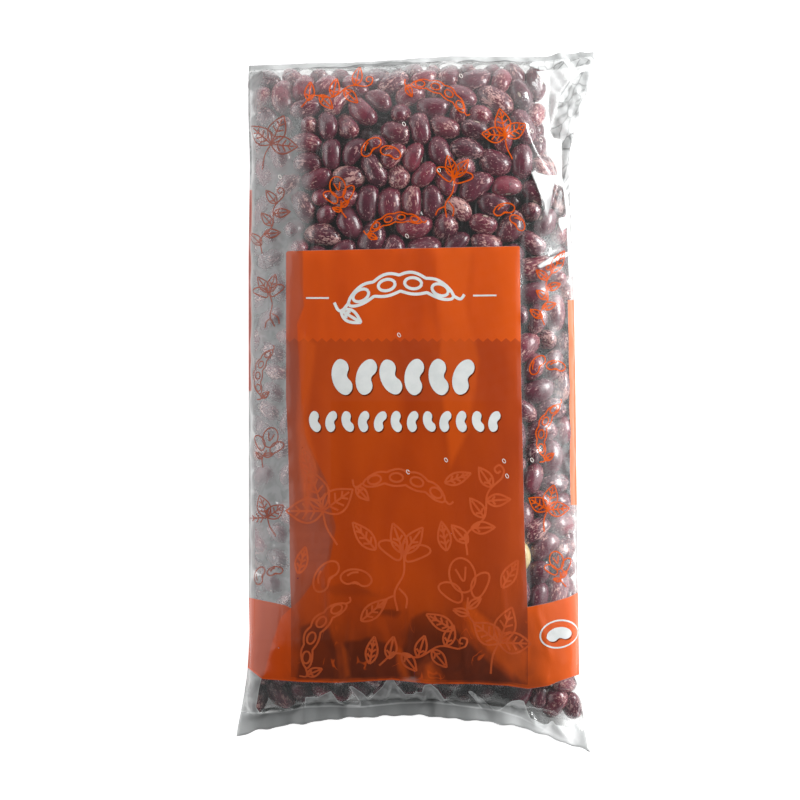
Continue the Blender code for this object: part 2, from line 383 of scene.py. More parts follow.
def surface_height(x, station, side):
    filled = end_share(station) * ear_share(x, station)
    across = share_across(x, station)
    middle = middle_height(x, station)
    if side > 0:
        rise = (CROWN - FOLD_HEIGHT) * section_share(across, TOP_SECTION) * filled
        return middle + FIN_THICKNESS / 2 + rise
    drop = FOLD_HEIGHT * section_share(across, LOWER_SECTION) * filled**LOWER_FILL * PRESSED_FLAT
    return np.maximum(middle - FIN_THICKNESS / 2 - drop, 0.0)


def evenly(points, count, weights=1.0):
    """The same line with its points spaced evenly, or by weight."""
    steps = np.linalg.norm(np.diff(points, axis=0), axis=1) * weights
    along = np.concatenate([[0.0], np.cumsum(steps)])
    wanted = np.linspace(0.0, along[-1], count)
    return np.stack([np.interp(wanted, along, column) for column in points.T], axis=1)


def film_rows(rows, closer, reach):
    fine = np.linspace(-LENGTH / 2, LENGTH / 2, PROFILE_STEPS)
    profile = np.stack([fine, surface_height(np.zeros_like(fine), fine, 1)], axis=1)
    from_end = LENGTH / 2 - np.abs(fine[1:])
    return evenly(profile, rows + 1, 1.0 + closer * np.exp(-((from_end / reach) ** 2)))[:, 0]


def form(rows, columns, end_rows=(0.0, 1.0)):
    """The smooth form: each row's station, both layers' points by row and column, and the shift."""
    stations = film_rows(rows, *end_rows)
    turn = np.linspace(-math.pi / 2, math.pi / 2, SECTION_STEPS)
    layers = {1: [], -1: []}
    for station in stations:
        left, right = half_widths(station)
        x = np.where(turn < 0, left, right) * np.sin(turn)
        at = np.full_like(x, station)
        y = place_along(x, at)
        for side in layers:
            row = np.stack([x, y, surface_height(x, at, side)], axis=1)
            layers[side].append(evenly(row, columns + 1))
    front, back = np.array(layers[1]), np.array(layers[-1])
    both = np.concatenate([front.reshape(-1, 3), back.reshape(-1, 3)])
    shift = (both.min(axis=0) + both.max(axis=0)) / 2
    shift[2] = 0.0
    front, back = front - shift, back - shift
    lean_over(front)
    return stations, front, back, shift


def lean_over(front):
    """Tilts the film outside the lean line more steeply to the side, then lets it come back at the edge."""
    rows, columns = np.array(LEAN_LINE, float).T
    lowest, rise = LEAN_HEIGHTS
    for row in front:
        x, y, z = row.T
        line = (np.interp(MIDDLE_PIXEL[1] - y / PIXEL, rows, columns) - MIDDLE_PIXEL[0]) * PIXEL
        slope = np.gradient(z) / (np.gradient(x) + 1e-9)
        need = np.where(x < line, np.clip(LEAN - slope, 0.0, LEAN), 0.0)
        need = need * eased((z - lowest) / rise)
        drop = np.concatenate([np.cumsum((need * np.gradient(x))[::-1])[::-1][1:], [0.0]])
        row[:, 2] -= drop * eased((x - x[0]) / LEAN_FADE)


def grid_normals(points, side):
    normal = np.cross(np.gradient(points, axis=1), np.gradient(points, axis=0)) * side
    return normal / (np.linalg.norm(normal, axis=2, keepdims=True) + 1e-12)


def plan(px, py):
    """Where a pixel of the photograph lies, in metres, at the level of the bag's outline."""
    return np.array([(px - MIDDLE_PIXEL[0]) * PIXEL, (MIDDLE_PIXEL[1] - py) * PIXEL])


def eye_place():
    return np.array([*plan(*CAMERA_PIXEL), CAMERA_DISTANCE + OUTLINE_LEVEL])


def pixels_of(points):
    """The pixel of the photograph at which each point is seen."""
    eye = eye_place()
    grow = CAMERA_DISTANCE / (eye[2] - points[..., 2])
    seen = eye[:2] + (points[..., :2] - eye[:2]) * grow[..., None]
    return seen[..., 0] / PIXEL + MIDDLE_PIXEL[0], MIDDLE_PIXEL[1] - seen[..., 1] / PIXEL


def inside_by(px, py, corners):
    """How far inside an outline each pixel lies, in millimetres. It is negative outside."""
    corners = np.array(corners, float)
    far = np.full(px.shape, 1e9)
    within = np.zeros(px.shape, bool)
    for (ax, ay), (bx, by) in zip(corners, np.roll(corners, -1, axis=0)):
        ex, ey = bx - ax, by - ay
        t = np.clip(((px - ax) * ex + (py - ay) * ey) / (ex * ex + ey * ey), 0.0, 1.0)
        far = np.minimum(far, np.hypot(px - ax - t * ex, py - ay - t * ey))
        crosses = (ay > py) != (by > py)
        at = ax + (py - ay) * ex / (ey if ey else 1e-9)
        within ^= crosses & (px < at)
    return np.where(within, far, -far) * PIXEL / MM


# ---------------------------------------------------------------- pieces


def deselect_all():
    bpy.ops.object.select_all(action="DESELECT")


def new_piece(name, points, faces, material):
    mesh = bpy.data.meshes.new(name)
    mesh.from_pydata(points, [], faces)
    mesh.shade_smooth()
    mesh.materials.append(material)
    piece = bpy.data.objects.new(name, mesh)
    bpy.context.scene.collection.objects.link(piece)
    return piece


def keep(mesh, name, values):
    """Keeps three numbers at each point of the mesh."""
    attribute = mesh.attributes.new(name, "FLOAT_VECTOR", "POINT")
    attribute.data.foreach_set("vector", np.ascontiguousarray(values, np.float32).ravel())


# ---------------------------------------------------------------- shader helpers


class Wire:
    """An output of a node. Sums with it add Math nodes."""

    def __init__(self, finish, socket):
        self.finish = finish
        self.socket = socket

    def maths(self, operation, *others):
        return self.finish.add("ShaderNodeMath", {"operation": operation}, self, *others)

    def __add__(self, other):
        return self.maths("ADD", other)

    def __sub__(self, other):
        return self.maths("SUBTRACT", other)

    def __mul__(self, other):
        return self.maths("MULTIPLY", other)

    def __truediv__(self, other):
        return self.maths("DIVIDE", other)

    def __pow__(self, other):
        return self.maths("POWER", other)

    def __rsub__(self, other):
        return self.finish.add("ShaderNodeMath", {"operation": "SUBTRACT"}, other, self)

    __radd__ = __add__
    __rmul__ = __mul__

    def larger(self, other):
        return self.maths("MAXIMUM", other)

    def smaller(self, other):
        return self.maths("MINIMUM", other)

    def size(self):
        return self.maths("ABSOLUTE")

    def clamped(self):
        return self.larger(0.0).smaller(1.0)

    def rise(self, start, end):
        """0 at start and 1 at end, eased between them."""
        values = {"Value": self, "From Min": min(start, end), "From Max": max(start, end)}
        out = self.finish.add(
            "ShaderNodeMapRange", {"interpolation_type": "SMOOTHSTEP"}, output="Result", **values
        )
        return out if end > start else 1.0 - out


def largest(first, *others):
    for other in others:
        first = first.larger(other)
    return first


def between(value, low, high, blur):
    """1 from low to high and 0 outside, eased over the blur at both."""
    return (value - low).rise(-blur, blur) * (high - value).rise(-blur, blur)


class Finish:
    """A material that is put together from wires."""

    def __init__(self, name):
        self.material = bpy.data.materials.new(name)
        self.material.use_nodes = True
        self.tree = self.material.node_tree
        self.tree.nodes.clear()

    def plug(self, socket, value):
        if isinstance(value, Wire):
            self.tree.links.new(value.socket, socket)
        elif isinstance(value, (tuple, list)) and socket.type == "RGBA" and len(value) == 3:
            socket.default_value = (*value, 1.0)
        else:
            socket.default_value = value

    def add(self, kind, settings, *values, output=0, **named):
        node = self.tree.nodes.new(kind)
        for key, value in settings.items():
            setattr(node, key, value)
        for key, value in (*enumerate(values), *named.items()):
            self.plug(node.inputs[key.replace("_", " ") if isinstance(key, str) else key], value)
        return Wire(self, node.outputs[output])

    def blend(self, share, first, second):
        """A colour that goes from first to second."""
        node = self.tree.nodes.new("ShaderNodeMix")
        node.data_type = "RGBA"
        node.clamp_factor = True
        self.plug(node.inputs[0], share)
        self.plug(node.inputs[6], first)
        self.plug(node.inputs[7], second)
        return Wire(self, node.outputs[2])

    def layered(self, colour, *layers):
        """A colour with others laid over it in turn, each by its share."""
        for share, tone in layers:
            colour = self.blend(share, colour, tone)
        return colour

    def kept(self, name):
        return self.add("ShaderNodeAttribute", {"attribute_name": name}, output="Vector")

    def parts(self, vector):
        return [self.add("ShaderNodeSeparateXYZ", {}, vector, output=axis) for axis in range(3)]

    def noise(self, where, scale, detail=2.0, roughness=0.5, distortion=0.0):
        values = {"Vector": where, "Scale": scale, "Detail": detail}
        values.update({"Roughness": roughness, "Distortion": distortion})
        return self.add("ShaderNodeTexNoise", {"noise_dimensions": "3D"}, **values)

    def cells(self, where, scale, feature="F1", output="Distance"):
        values = {"Vector": where, "Scale": scale}
        return self.add("ShaderNodeTexVoronoi", {"feature": feature}, output=output, **values)

    def stretched(self, where, scale):
        return self.add("ShaderNodeVectorMath", {"operation": "MULTIPLY"}, where, scale)

    def place(self):
        return self.add("ShaderNodeTexCoord", {}, output="Object")

    def bump(self, height, distance, strength=1.0):
        return self.add("ShaderNodeBump", {}, Strength=strength, Distance=distance, Height=height)

    def principled(self, **values):
        return self.add("ShaderNodeBsdfPrincipled", {}, **values)

    def done(self, shader):
        output = self.tree.nodes.new("ShaderNodeOutputMaterial")
        self.tree.links.new(shader.socket, output.inputs["Surface"])
        return self.material


# ---------------------------------------------------------------- beans


def bean_skin(name, deep, rosy, fleck, amount):
    """Glossy mottled skin: plum ground, cream-pink flecks along the bean, and a pale scar at the waist."""
    finish = Finish(name)
    tone, flecks, _ = finish.parts(finish.kept("bean_tone"))
    along, side, up = finish.parts(finish.kept("bean_at"))
    at = finish.kept("bean_pattern")
    broad = finish.noise(at, 0.17, 2.0)
    ground = finish.blend((broad.rise(0.35, 0.68) * 0.5 + tone * 0.6).clamped(), deep, rosy)
    lengthwise = finish.stretched(at, (0.42, 1.0, 1.0))
    fine = finish.noise(lengthwise, 1.25, 3.0, 0.62, 0.7)
    coarse = finish.noise(lengthwise, 0.60, 2.0, 0.55, 1.4)
    patch = finish.noise(at, 0.20, 1.0)
    level = 0.675 - (patch.rise(0.36, 0.70) * 0.11 + flecks * 0.10) * amount
    specks = ((fine - level) * 24.0).clamped()
    streaks = ((coarse - level - 0.02) * 16.0).clamped() * 0.7
    mottle = specks.larger(streaks)
    dark = finish.noise(at, 0.8, 2.0).rise(0.58, 0.74) * 0.6
    scar = ((along / 1.35) * (along / 1.35) + (up / 0.62) * (up / 0.62)) ** 0.5
    near = side.rise(-2.4, -3.4)
    skin = finish.layered(
        ground,
        (mottle * 0.9, fleck),
        (dark * (1.0 - mottle), (0.016, 0.006, 0.009)),
        (scar.rise(1.7, 1.1) * near, (0.09, 0.03, 0.028)),
        (scar.rise(1.05, 0.75) * near, (0.60, 0.48, 0.40)),
    )
    wrinkle = finish.noise(at, 0.7, 3.0, 0.6)
    return finish.done(
        finish.principled(
            Base_Color=skin,
            Roughness=finish.noise(at, 0.5).rise(0.3, 0.7) * 0.10 + 0.18,
            Specular_IOR_Level=0.5,
            Coat_Weight=0.40,
            Coat_Roughness=0.10,
            Normal=finish.bump(wrinkle, 0.00012, 0.6),
        )
    )


def pale_skin():
    finish = Finish("pale bean skin")
    at = finish.kept("bean_pattern")
    patch = finish.noise(at, 0.4, 3.0, 0.6)
    return finish.done(
        finish.principled(
            Base_Color=finish.blend(patch.rise(0.35, 0.7), *PALE_SKIN),
            Roughness=0.3,
            Coat_Weight=0.3,
            Coat_Roughness=0.12,
            Normal=finish.bump(patch, 0.0001, 0.5),
        )
    )


def bean_shape(cuts, bend, taper, plump, waist):
    """One bean in a box from -1 to 1, lying along X with its waist at -Y: its points and faces."""
    deselect_all()
    bpy.ops.mesh.primitive_cube_add(size=2.0)
    bean = bpy.context.object
    bean.name = "bean form"
    bpy.ops.object.mode_set(mode="EDIT")
    bpy.ops.mesh.select_all(action="SELECT")
    bpy.ops.mesh.subdivide(number_cuts=cuts)
    bpy.ops.transform.tosphere(value=plump)
    bpy.ops.object.mode_set(mode="OBJECT")
    for name, method, axis in (("narrow end", "TAPER", "X"), ("curl", "BEND", "Z")):
        change = bean.modifiers.new(name, "SIMPLE_DEFORM")
        change.deform_method = method
        change.deform_axis = axis
        if method == "TAPER":
            change.factor = taper
        else:
            change.angle = math.radians(bend)
        bpy.ops.object.modifier_apply(modifier=name)
    points = np.array([vertex.co for vertex in bean.data.vertices])
    faces = [tuple(face.vertices) for face in bean.data.polygons]
    bpy.data.objects.remove(bean)
    low, high = points.min(axis=0), points.max(axis=0)
    points = (points - (low + high) / 2) / ((high - low) / 2)
    if points[np.abs(points[:, 0]) < 0.3, 1].sum() < 0:
        points[:, :2] *= -1
    dent = np.exp(-((points[:, 0] / 0.36) ** 2)) * np.clip(-points[:, 1], 0, 1) ** 2
    points[:, 1] += waist * dent
    return points, faces


def grid_faces(rows, columns):
    """The faces of a grid of points."""
    index = np.arange(rows * columns).reshape(rows, columns)
    corners = (index[:-1, :-1], index[:-1, 1:], index[1:, 1:], index[1:, :-1])
    return np.stack(corners, axis=-1).reshape(-1, 4)


def grid_tree(grid):
    return BVHTree.FromPolygons(grid.reshape(-1, 3).tolist(), grid_faces(*grid.shape[:2]).tolist())


def walls_of(front, back):
    """The closed form as a search tree."""
    rows, columns = front.shape[:2]
    faces = grid_faces(rows, columns)
    faces = np.concatenate([faces, faces[:, ::-1] + rows * columns])
    points = np.concatenate([front.reshape(-1, 3), back.reshape(-1, 3)])
    return BVHTree.FromPolygons(points.tolist(), faces.tolist())


def nearest_wall(walls, points):
    """The nearest place on the walls to each point, and the way out there."""
    found = [walls.find_nearest(Vector(point)) for point in points]
    return np.array([item[0] for item in found]), np.array([item[1] for item in found])


def first_places(front, back, random):
    """Random places inside the form, more where it is thicker."""
    thick = front[..., 2] - back[..., 2]
    area = np.abs(np.gradient(front[..., 1], axis=0) * np.gradient(front[..., 0], axis=1))
    room = thick > 2.0 * BEAN_RADIUS
    weight = (thick[room] - 1.5 * BEAN_RADIUS) * area[room]
    picked = np.argwhere(room)[random.choice(room.sum(), BEAN_COUNT, p=weight / weight.sum())]
    low, high = back[picked[:, 0], picked[:, 1]], front[picked[:, 0], picked[:, 1]]
    places = low + (high - low) * random.uniform(0.2, 0.8, (BEAN_COUNT, 1))
    return places + random.normal(scale=0.4 * BEAN_RADIUS, size=places.shape) * (1, 1, 0.3)


def unit(vectors):
    return vectors / (np.linalg.norm(vectors, axis=1, keepdims=True) + 1e-12)


def close_pairs(ends, owner):
    """The pairs of balls, of two different beans, that may soon touch."""
    squares = (ends**2).sum(axis=1)
    apart = squares[:, None] + squares[None, :] - 2.0 * ends @ ends.T
    first, second = np.nonzero(np.triu(apart < (2.6 * BEAN_RADIUS) ** 2, 1))
    other = owner[first] != owner[second]
    return first[other], second[other]


def push_apart(ends, radii, pairs, grown):
    """Moves balls that overlap away from each other."""
    first, second = pairs
    across = ends[second] - ends[first]
    distance = np.linalg.norm(across, axis=1) + 1e-9
    overlap = (radii[first] + radii[second]) * grown - distance
    near = overlap > 0
    push = across[near] * (0.5 * overlap[near] / distance[near])[:, None]
    for column in range(3):
        back_off = np.bincount(first[near], push[:, column], len(ends))
        ends[:, column] += 0.7 * (np.bincount(second[near], push[:, column], len(ends)) - back_off)


def pack_beans(front, back, random):
    """Beans of two joined balls each, pushed apart until they fill the form side by side."""
    walls = walls_of(front, back)
    limits = limits_of(front)
    middle = first_places(front, back, random)
    spread = random.uniform(*SIZE_SPREAD, BEAN_COUNT)
    radius = BEAN_RADIUS * spread * random.uniform(*THICKNESS_SPREAD, BEAN_COUNT)
    half = BEAN_HALF_LENGTH * spread * random.uniform(*LENGTH_SPREAD, BEAN_COUNT) - radius
    axis = unit(random.normal(size=(BEAN_COUNT, 3)) * (1, 1, 0.45))
    ends = np.concatenate([middle + axis * half[:, None], middle - axis * half[:, None]])
    radii, owner = np.tile(radius, 2), np.tile(np.arange(BEAN_COUNT), 2)
    for step in range(PACK_STEPS):
        grown = min(1.0, START_SIZE + 0.5 * step / (0.6 * PACK_STEPS))
        if step % 4 == 0:
            pairs = close_pairs(ends, owner)
        push_apart(ends, radii, pairs, grown)
        if step % 3 == 0:
            where, normal = nearest_wall(walls, ends)
        inward = ((where - ends) * normal).sum(axis=1)
        pull = np.clip(2.6 - inward / BEAN_RADIUS, 0.0, 1.0) * WALL_PULL
        pull = pull * min(1.0, 2.0 - 2.0 * step / PACK_STEPS)
        ends = ends + normal * pull[:, None] + to_ends(ends, step)
        middle = (ends[:BEAN_COUNT] + ends[BEAN_COUNT:]) / 2
        axis = unit(ends[:BEAN_COUNT] - ends[BEAN_COUNT:])
        close = np.clip(2.0 - inward[:BEAN_COUNT] / BEAN_RADIUS, 0.0, 1.0)[:, None]
        leaning = (axis * normal[:BEAN_COUNT]).sum(axis=1, keepdims=True)
        axis = unit(axis - LIE_FLAT * close * leaning * normal[:BEAN_COUNT])
        ends = np.concatenate([middle + axis * half[:, None], middle - axis * half[:, None]])
        depth = ((ends - where) * normal).sum(axis=1) + radii * grown
        out = depth > 0
        ends[out] -= normal[out] * depth[out][:, None]
        ends = held_in(ends, radii, limits)
    middle = (ends[:BEAN_COUNT] + ends[BEAN_COUNT:]) / 2
    axis = unit(ends[:BEAN_COUNT] - ends[BEAN_COUNT:])
    where, normal = nearest_wall(walls, middle)
    from_wall = ((where - middle) * normal).sum(axis=1)
    flat = normal + random.normal(size=normal.shape) * 0.28
    flat = unit(flat - axis * (flat * axis).sum(axis=1, keepdims=True))
    size = np.stack([(radius + half) * 1.03, radius * 1.09, radius * 0.94], axis=1)
    return {"middle": middle, "axis": axis, "flat": flat, "size": size, "from_wall": from_wall}


def limits_of(front):
    """The seals' inner edges by place across, and the side folds by place along."""
    columns, rows = np.array(FIN_LINE, float).T
    low = ((columns - MIDDLE_PIXEL[0]) * PIXEL, (MIDDLE_PIXEL[1] - rows) * PIXEL)
    high = (front[-1, :, 0], front[-1, :, 1] - TOP_FIN)
    return low, high, (front[:, 0, 1], front[:, 0, 0]), (front[:, -1, 1], front[:, -1, 0])


def held_in(ends, radii, limits):
    """The same places, kept between the seals and between the side folds."""
    low, high, left, right = limits
    gap = 0.86 * radii
    x = np.clip(ends[:, 0], np.interp(ends[:, 1], *left) + gap, np.interp(ends[:, 1], *right) - gap)
    y = np.clip(ends[:, 1], np.interp(x, *low) + gap, np.interp(x, *high) - gap)
    return np.stack([x, y, np.maximum(ends[:, 2], radii)], axis=1)


def to_ends(ends, step):
    """The small move that brings beans close to the two sealed ends and into the corners."""
    low, high = END_PULL_FROM
    down = eased((low - ends[:, 1]) / 0.012)
    up = eased((ends[:, 1] - high) / 0.012)
    move = np.zeros_like(ends)
    move[:, 1] = 0.6 * up - down
    move[:, 0] = 0.8 * down * eased((np.abs(ends[:, 0]) - 0.03) / 0.03) * np.sign(ends[:, 0])
    return move * END_PULL * min(1.0, 1.8 - 1.8 * step / PACK_STEPS)


def bean_piece(name, picked, shapes, skin, beans):
    """One mesh of many beans, each point knowing its place on its own bean."""
    points, faces, at, pattern, tone = [], [], [], [], []
    base = 0
    for bean in picked:
        shape, shape_faces = shapes[beans["shape"][bean] % len(shapes)]
        axis = beans["axis"][bean] * beans["turn"][bean]
        flat = beans["flat"][bean]
        own = shape * beans["size"][bean]
        placed = own @ np.stack([axis, np.cross(flat, axis), flat]) + beans["middle"][bean]
        placed[:, 2] += max(0.0, 0.05 * MM - placed[:, 2].min())
        points.append(placed)
        faces += [tuple(index + base for index in face) for face in shape_faces]
        base += len(shape)
        at.append(own / MM)
        pattern.append(own / MM + beans["offset"][bean])
        tone.append(np.tile((beans["tone"][bean], beans["flecks"][bean], 0.0), (len(shape), 1)))
    piece = new_piece(name, np.concatenate(points).tolist(), faces, skin)
    keep(piece.data, "bean_at", np.concatenate(at))
    keep(piece.data, "bean_pattern", np.concatenate(pattern))
    keep(piece.data, "bean_tone", np.concatenate(tone))
    return piece


def bean_shapes():
    """Shapes that differ in curl, in how narrow one end is, in plumpness and in waist."""
    curls, tapers = (12, 24, 36, 48), (0.0, 0.16, -0.12)
    plumps, waists = (0.96, 0.90, 1.0), (0.03, 0.08, 0.13)
    return [
        bean_shape(3, curls[n % 4], tapers[n % 3], plumps[(n // 4) % 3], waists[(n // 2) % 3])
        for n in range(BEAN_SHAPES)
    ]


def make_beans(front, back):
    """All the beans: those near the film by colour, those deeper inside in a darker skin of painted shade,
    and the pale one.
    """
    random = np.random.default_rng(SEED)
    beans = pack_beans(front, back, random)
    beans["turn"] = random.integers(0, 2, BEAN_COUNT) * 2 - 1
    beans["tone"] = random.uniform(0, 1, BEAN_COUNT)
    beans["flecks"] = random.uniform(0, 1, BEAN_COUNT) ** 1.3
    beans["offset"] = random.uniform(-60, 60, (BEAN_COUNT, 3))
    beans["shape"] = random.integers(0, BEAN_SHAPES, BEAN_COUNT)
    kind = random.choice(len(BEAN_SKINS), BEAN_COUNT, p=SHARE_OF_EACH)
    shapes = bean_shapes()
    plain_shape = bean_shape(1, 20, 0.0, 1.0, 0.0)
    outer = beans["from_wall"] < 2.0 * BEAN_RADIUS
    seen = np.stack(pixels_of(beans["middle"]), axis=1)
    gap = np.hypot(*(seen - PALE_BEAN_PIXEL).T) - beans["middle"][:, 2] / PIXEL * 0.8
    pale = int(np.argmin(gap))
    pieces = []
    for index, (name, colours) in enumerate(BEAN_SKINS):
        skin = bean_skin(name.replace("_", " ") + " skin", *colours)
        which = outer & (kind == index)
        which[pale] = False
        pieces.append(bean_piece(name, np.nonzero(which)[0], shapes, skin, beans))
        if index == 0:
            hidden = ~outer
            hidden[pale] = False
            # the inner beans take a darker skin as painted shade
            shaded = bean_skin("inner bean skin in painted shade", *INNER_PAINTED_SHADE_SKIN)
            pieces.append(bean_piece("beans_inside", np.nonzero(hidden)[0], [plain_shape], shaded, beans))
    pieces.append(bean_piece("bean_pale", [pale], shapes, pale_skin(), beans))
    return pieces


# ---------------------------------------------------------------- film


def mesh_tree(pieces):
    """All the pieces' faces as one search tree."""
    points, faces, base = [], [], 0
    for piece in pieces:
        co = np.empty(len(piece.data.vertices) * 3, np.float32)
        piece.data.vertices.foreach_get("co", co)
        points.append(co.reshape(-1, 3))
        faces += [tuple(index + base for index in face.vertices) for face in piece.data.polygons]
        base += len(piece.data.vertices)
    return BVHTree.FromPolygons(np.concatenate(points).tolist(), faces)


def smoothed(field, times):
    """A grid of values, each averaged with its neighbours a number of times."""
    for _ in range(times):
        wide = np.pad(field, 1, mode="edge")
        sides = wide[:-2, 1:-1] + wide[2:, 1:-1] + wide[1:-1, :-2] + wide[1:-1, 2:]
        field = (sides + 2.0 * field) / 6.0
    return field


def lowest_near(field, reach):
    """The lowest value within a number of steps of each place on a grid."""
    for _ in range(reach):
        wide = np.pad(field, 1, mode="edge")
        field = np.minimum(np.minimum(wide[:-2, 1:-1], wide[2:, 1:-1]), field)
        wide = np.pad(field, 1, mode="edge")
        field = np.minimum(np.minimum(wide[1:-1, :-2], wide[1:-1, 2:]), field)
    return field


def room_under(points, normal, tree):
    """How far each point of the film may sink before it meets a bean."""
    room = np.full(points.shape[:2], OPEN_ROOM)
    for place in np.ndindex(room.shape):
        start = points[place] + normal[place] * CAST_FROM
        hit = tree.ray_cast(Vector(start), Vector(-normal[place]), CAST_REACH)
        if hit[0] is not None:
            room[place] = hit[3] - CAST_FROM
    return room


def crease(px, py, start, end, height, half_width):
    """A raised fold along a line, highest in its middle."""
    (ax, ay), (bx, by) = start, end
    ex, ey = bx - ax, by - ay
    length = math.hypot(ex, ey)
    t = ((px - ax) * ex + (py - ay) * ey) / length**2
    aside = np.abs((px - ax) * ey - (py - ay) * ex) / length * PIXEL / MM
    ridge = np.clip(1.0 - aside / half_width, 0.0, 1.0) ** 1.3
    return height * ridge * np.clip(np.sin(np.clip(t, 0, 1) * math.pi), 0, 1) ** 0.6


def zigzag(value):
    """A triangle wave between -1 and 1."""
    return 4.0 * np.abs(value - np.floor(value + 0.5)) - 1.0


def union_by(px, py, outlines):
    return np.max([inside_by(px, py, corners) for corners in outlines], axis=0)


def film_layer(points, side, slack, tree, clear):
    """The film over the beans on one side, and how near it is to them."""
    normal = grid_normals(points, side)
    room = room_under(points, normal, tree) - FILM_GAP
    taut = smoothed(lowest_near(np.minimum(room, DEEPEST_TAUT), 6), 40)
    hug = np.minimum(room, DEEPEST_HUG)
    for _ in range(24):
        hug = np.minimum(smoothed(hug, 1), room)
    dip = taut + (hug - taut) * clear
    dip = np.where(dip < 0, dip, dip * (1.0 - slack))
    moved = points - normal * dip[..., None]
    touch = np.clip(1.0 - (room - dip) / TOUCH_REACH, 0.0, 1.0)
    return moved, normal, touch


def wrinkled(moved, normal, slack):
    """The front film with its creases, its crumpled empty corner and its folds at the foot."""
    px, py = pixels_of(moved)
    height = np.zeros_like(px)
    for start, end, high, wide in CREASES:
        height = np.maximum(height, crease(px, py, start, end, high, wide))
    x, y = moved[..., 0], moved[..., 1]
    crumple = zigzag(x * 95 + y * 41) * 0.5 + zigzag(x * 38 - y * 97 + 0.3) * 0.5
    crumple += zigzag(x * 170 + y * 131) * 0.25
    ear = eased((x - 0.056) / 0.010) * eased((y - 0.105) / 0.02) * slack
    height = height + ear * (crumple + 1.25) * 0.9
    foot = eased((-0.125 - y) / 0.012) * eased(slack * 1.4)
    folds = zigzag(x * 44 + 0.8 * zigzag(x * 17)) * 0.5 + zigzag(x * 71 + y * 30) * 0.3
    height = height + foot * (folds + 0.8) * 0.5
    return moved + normal * (height * MM)[..., None]


def foot_ripple(points):
    """The small waves of the foot's cut edge, fading out above it."""
    above = (points[..., 1] - points[:1, :, 1]) / MM
    x = points[..., 0]
    wave = sum(share * np.sin(rate * x + phase) for rate, phase, share in RIPPLES)
    return wave * RIPPLE_HEIGHT * np.clip(1.0 - above / RIPPLE_REACH, 0.0, 1.0)


def clear_share(px, py):
    """How closely the film follows the beans: closely where it is clear, hardly under the print."""
    panel = np.maximum(inside_by(px, py, PANEL), inside_by(px, py, band_outline()))
    lower = eased((py - 600.0) / 80.0)
    return 0.75 - eased((panel + 3.0) / 6.0) * (0.65 - 0.25 * lower)


def band_outline():
    return (*BAND_TOP, *reversed(BAND_FOOT))


def make_film(tree, skin):
    """The closed film over the beans, and its front layer's points."""
    stations, front, back, shift = form(ROWS, COLUMNS, END_ROWS)
    station = np.repeat(stations[:, None], COLUMNS + 1, axis=1)
    layers, touches, slacks = {}, {}, {}
    for side, points in ((1, front), (-1, back)):
        filled = end_share(station) * ear_share(points[..., 0] + shift[0], station)
        slack = 1.0 - eased(filled * 2.4)
        px, py = pixels_of(points)
        step = 1 if side > 0 else 2
        clear = clear_share(px, py) if side > 0 else np.full_like(px, BACK_HUG)
        near = np.s_[::step, ::step]
        moved, normal, touch = film_layer(points[near], side, slack[near], tree, clear[near])
        if side > 0:
            moved = wrinkled(moved, normal, slack)
        else:
            resting = points[near][..., 2] <= 0.02 * MM
            moved[resting] = points[near][resting]
            moved[..., 2] = np.maximum(moved[..., 2], 0.0)
        layers[side], touches[side], slacks[side] = moved, touch, slack[near]
    close_rim(layers, front, back)
    for points in layers.values():
        points[..., 1] += foot_ripple(points)
    points, faces = joined_grids(layers)
    film = new_piece("film", points.tolist(), faces, skin)
    keep_film_values(film.data, layers, touches, slacks)
    return film, layers[1]


def close_rim(layers, front, back):
    """Brings the front and the back film together all round."""
    rim = (front + back) / 2
    for side, step in ((1, 1), (-1, 2)):
        for cut in (np.s_[0], np.s_[-1], np.s_[:, 0], np.s_[:, -1]):
            layers[side][cut] = rim[::step, ::step][cut]


def joined_grids(layers):
    """One closed mesh of a fine front and a back of half as many rows and columns."""
    front_index = np.arange((ROWS + 1) * (COLUMNS + 1)).reshape(ROWS + 1, COLUMNS + 1)
    rows, columns = ROWS // 2, COLUMNS // 2
    back_index = front_index[::2, ::2].copy()
    inner = (rows - 1) * (columns - 1)
    back_index[1:-1, 1:-1] = front_index.size + np.arange(inner).reshape(rows - 1, columns - 1)
    points = np.concatenate([layers[1].reshape(-1, 3), layers[-1][1:-1, 1:-1].reshape(-1, 3)])
    faces = grid_faces(ROWS + 1, COLUMNS + 1).tolist()
    for row in range(rows):
        for column in range(columns):
            r, k = 2 * row, 2 * column
            face = [back_index[row, column]]
            if column == 0:
                face.append(front_index[r + 1, 0])
            face.append(back_index[row + 1, column])
            if row == rows - 1:
                face.append(front_index[-1, k + 1])
            face.append(back_index[row + 1, column + 1])
            if column == columns - 1:
                face.append(front_index[r + 1, -1])
            face.append(back_index[row, column + 1])
            if row == 0:
                face.append(front_index[0, k + 1])
            faces.append([int(index) for index in face])
    return points, faces


def front_marks(px, py):
    """How far each pixel of the front lies inside its print, milky folds, painted glare, painted shade and
    painted light, and how light its milk is painted.
    """
    print_marks = [inside_by(px, py, PANEL), inside_by(px, py, band_outline())]
    milk_marks = [union_by(px, py, FOLDS + EAR_FOLDS), union_by(px, py, GLARE), fold_grey(px, py)]
    # painted shade: the dark folds and the dark tone between the folds below the band
    dark = np.maximum(union_by(px, py, PAINTED_SHADE_FOLDS), inside_by(px, py, FOOT_SHADE))
    return print_marks, milk_marks, [dark, union_by(px, py, PAINTED_LIGHT_FOLDS)]


def back_marks(points):
    """The same for the back, which has no print but the band."""
    none = np.full(points.shape[:2], FAR_OUTSIDE)
    middle_row, half_width = BACK_BAND
    rows = MIDDLE_PIXEL[1] - points[..., 1] / PIXEL
    band = half_width - np.abs((rows - middle_row) * PIXEL / MM)
    return [none, band], [none, none, np.full_like(none, 0.5)], [none, none]


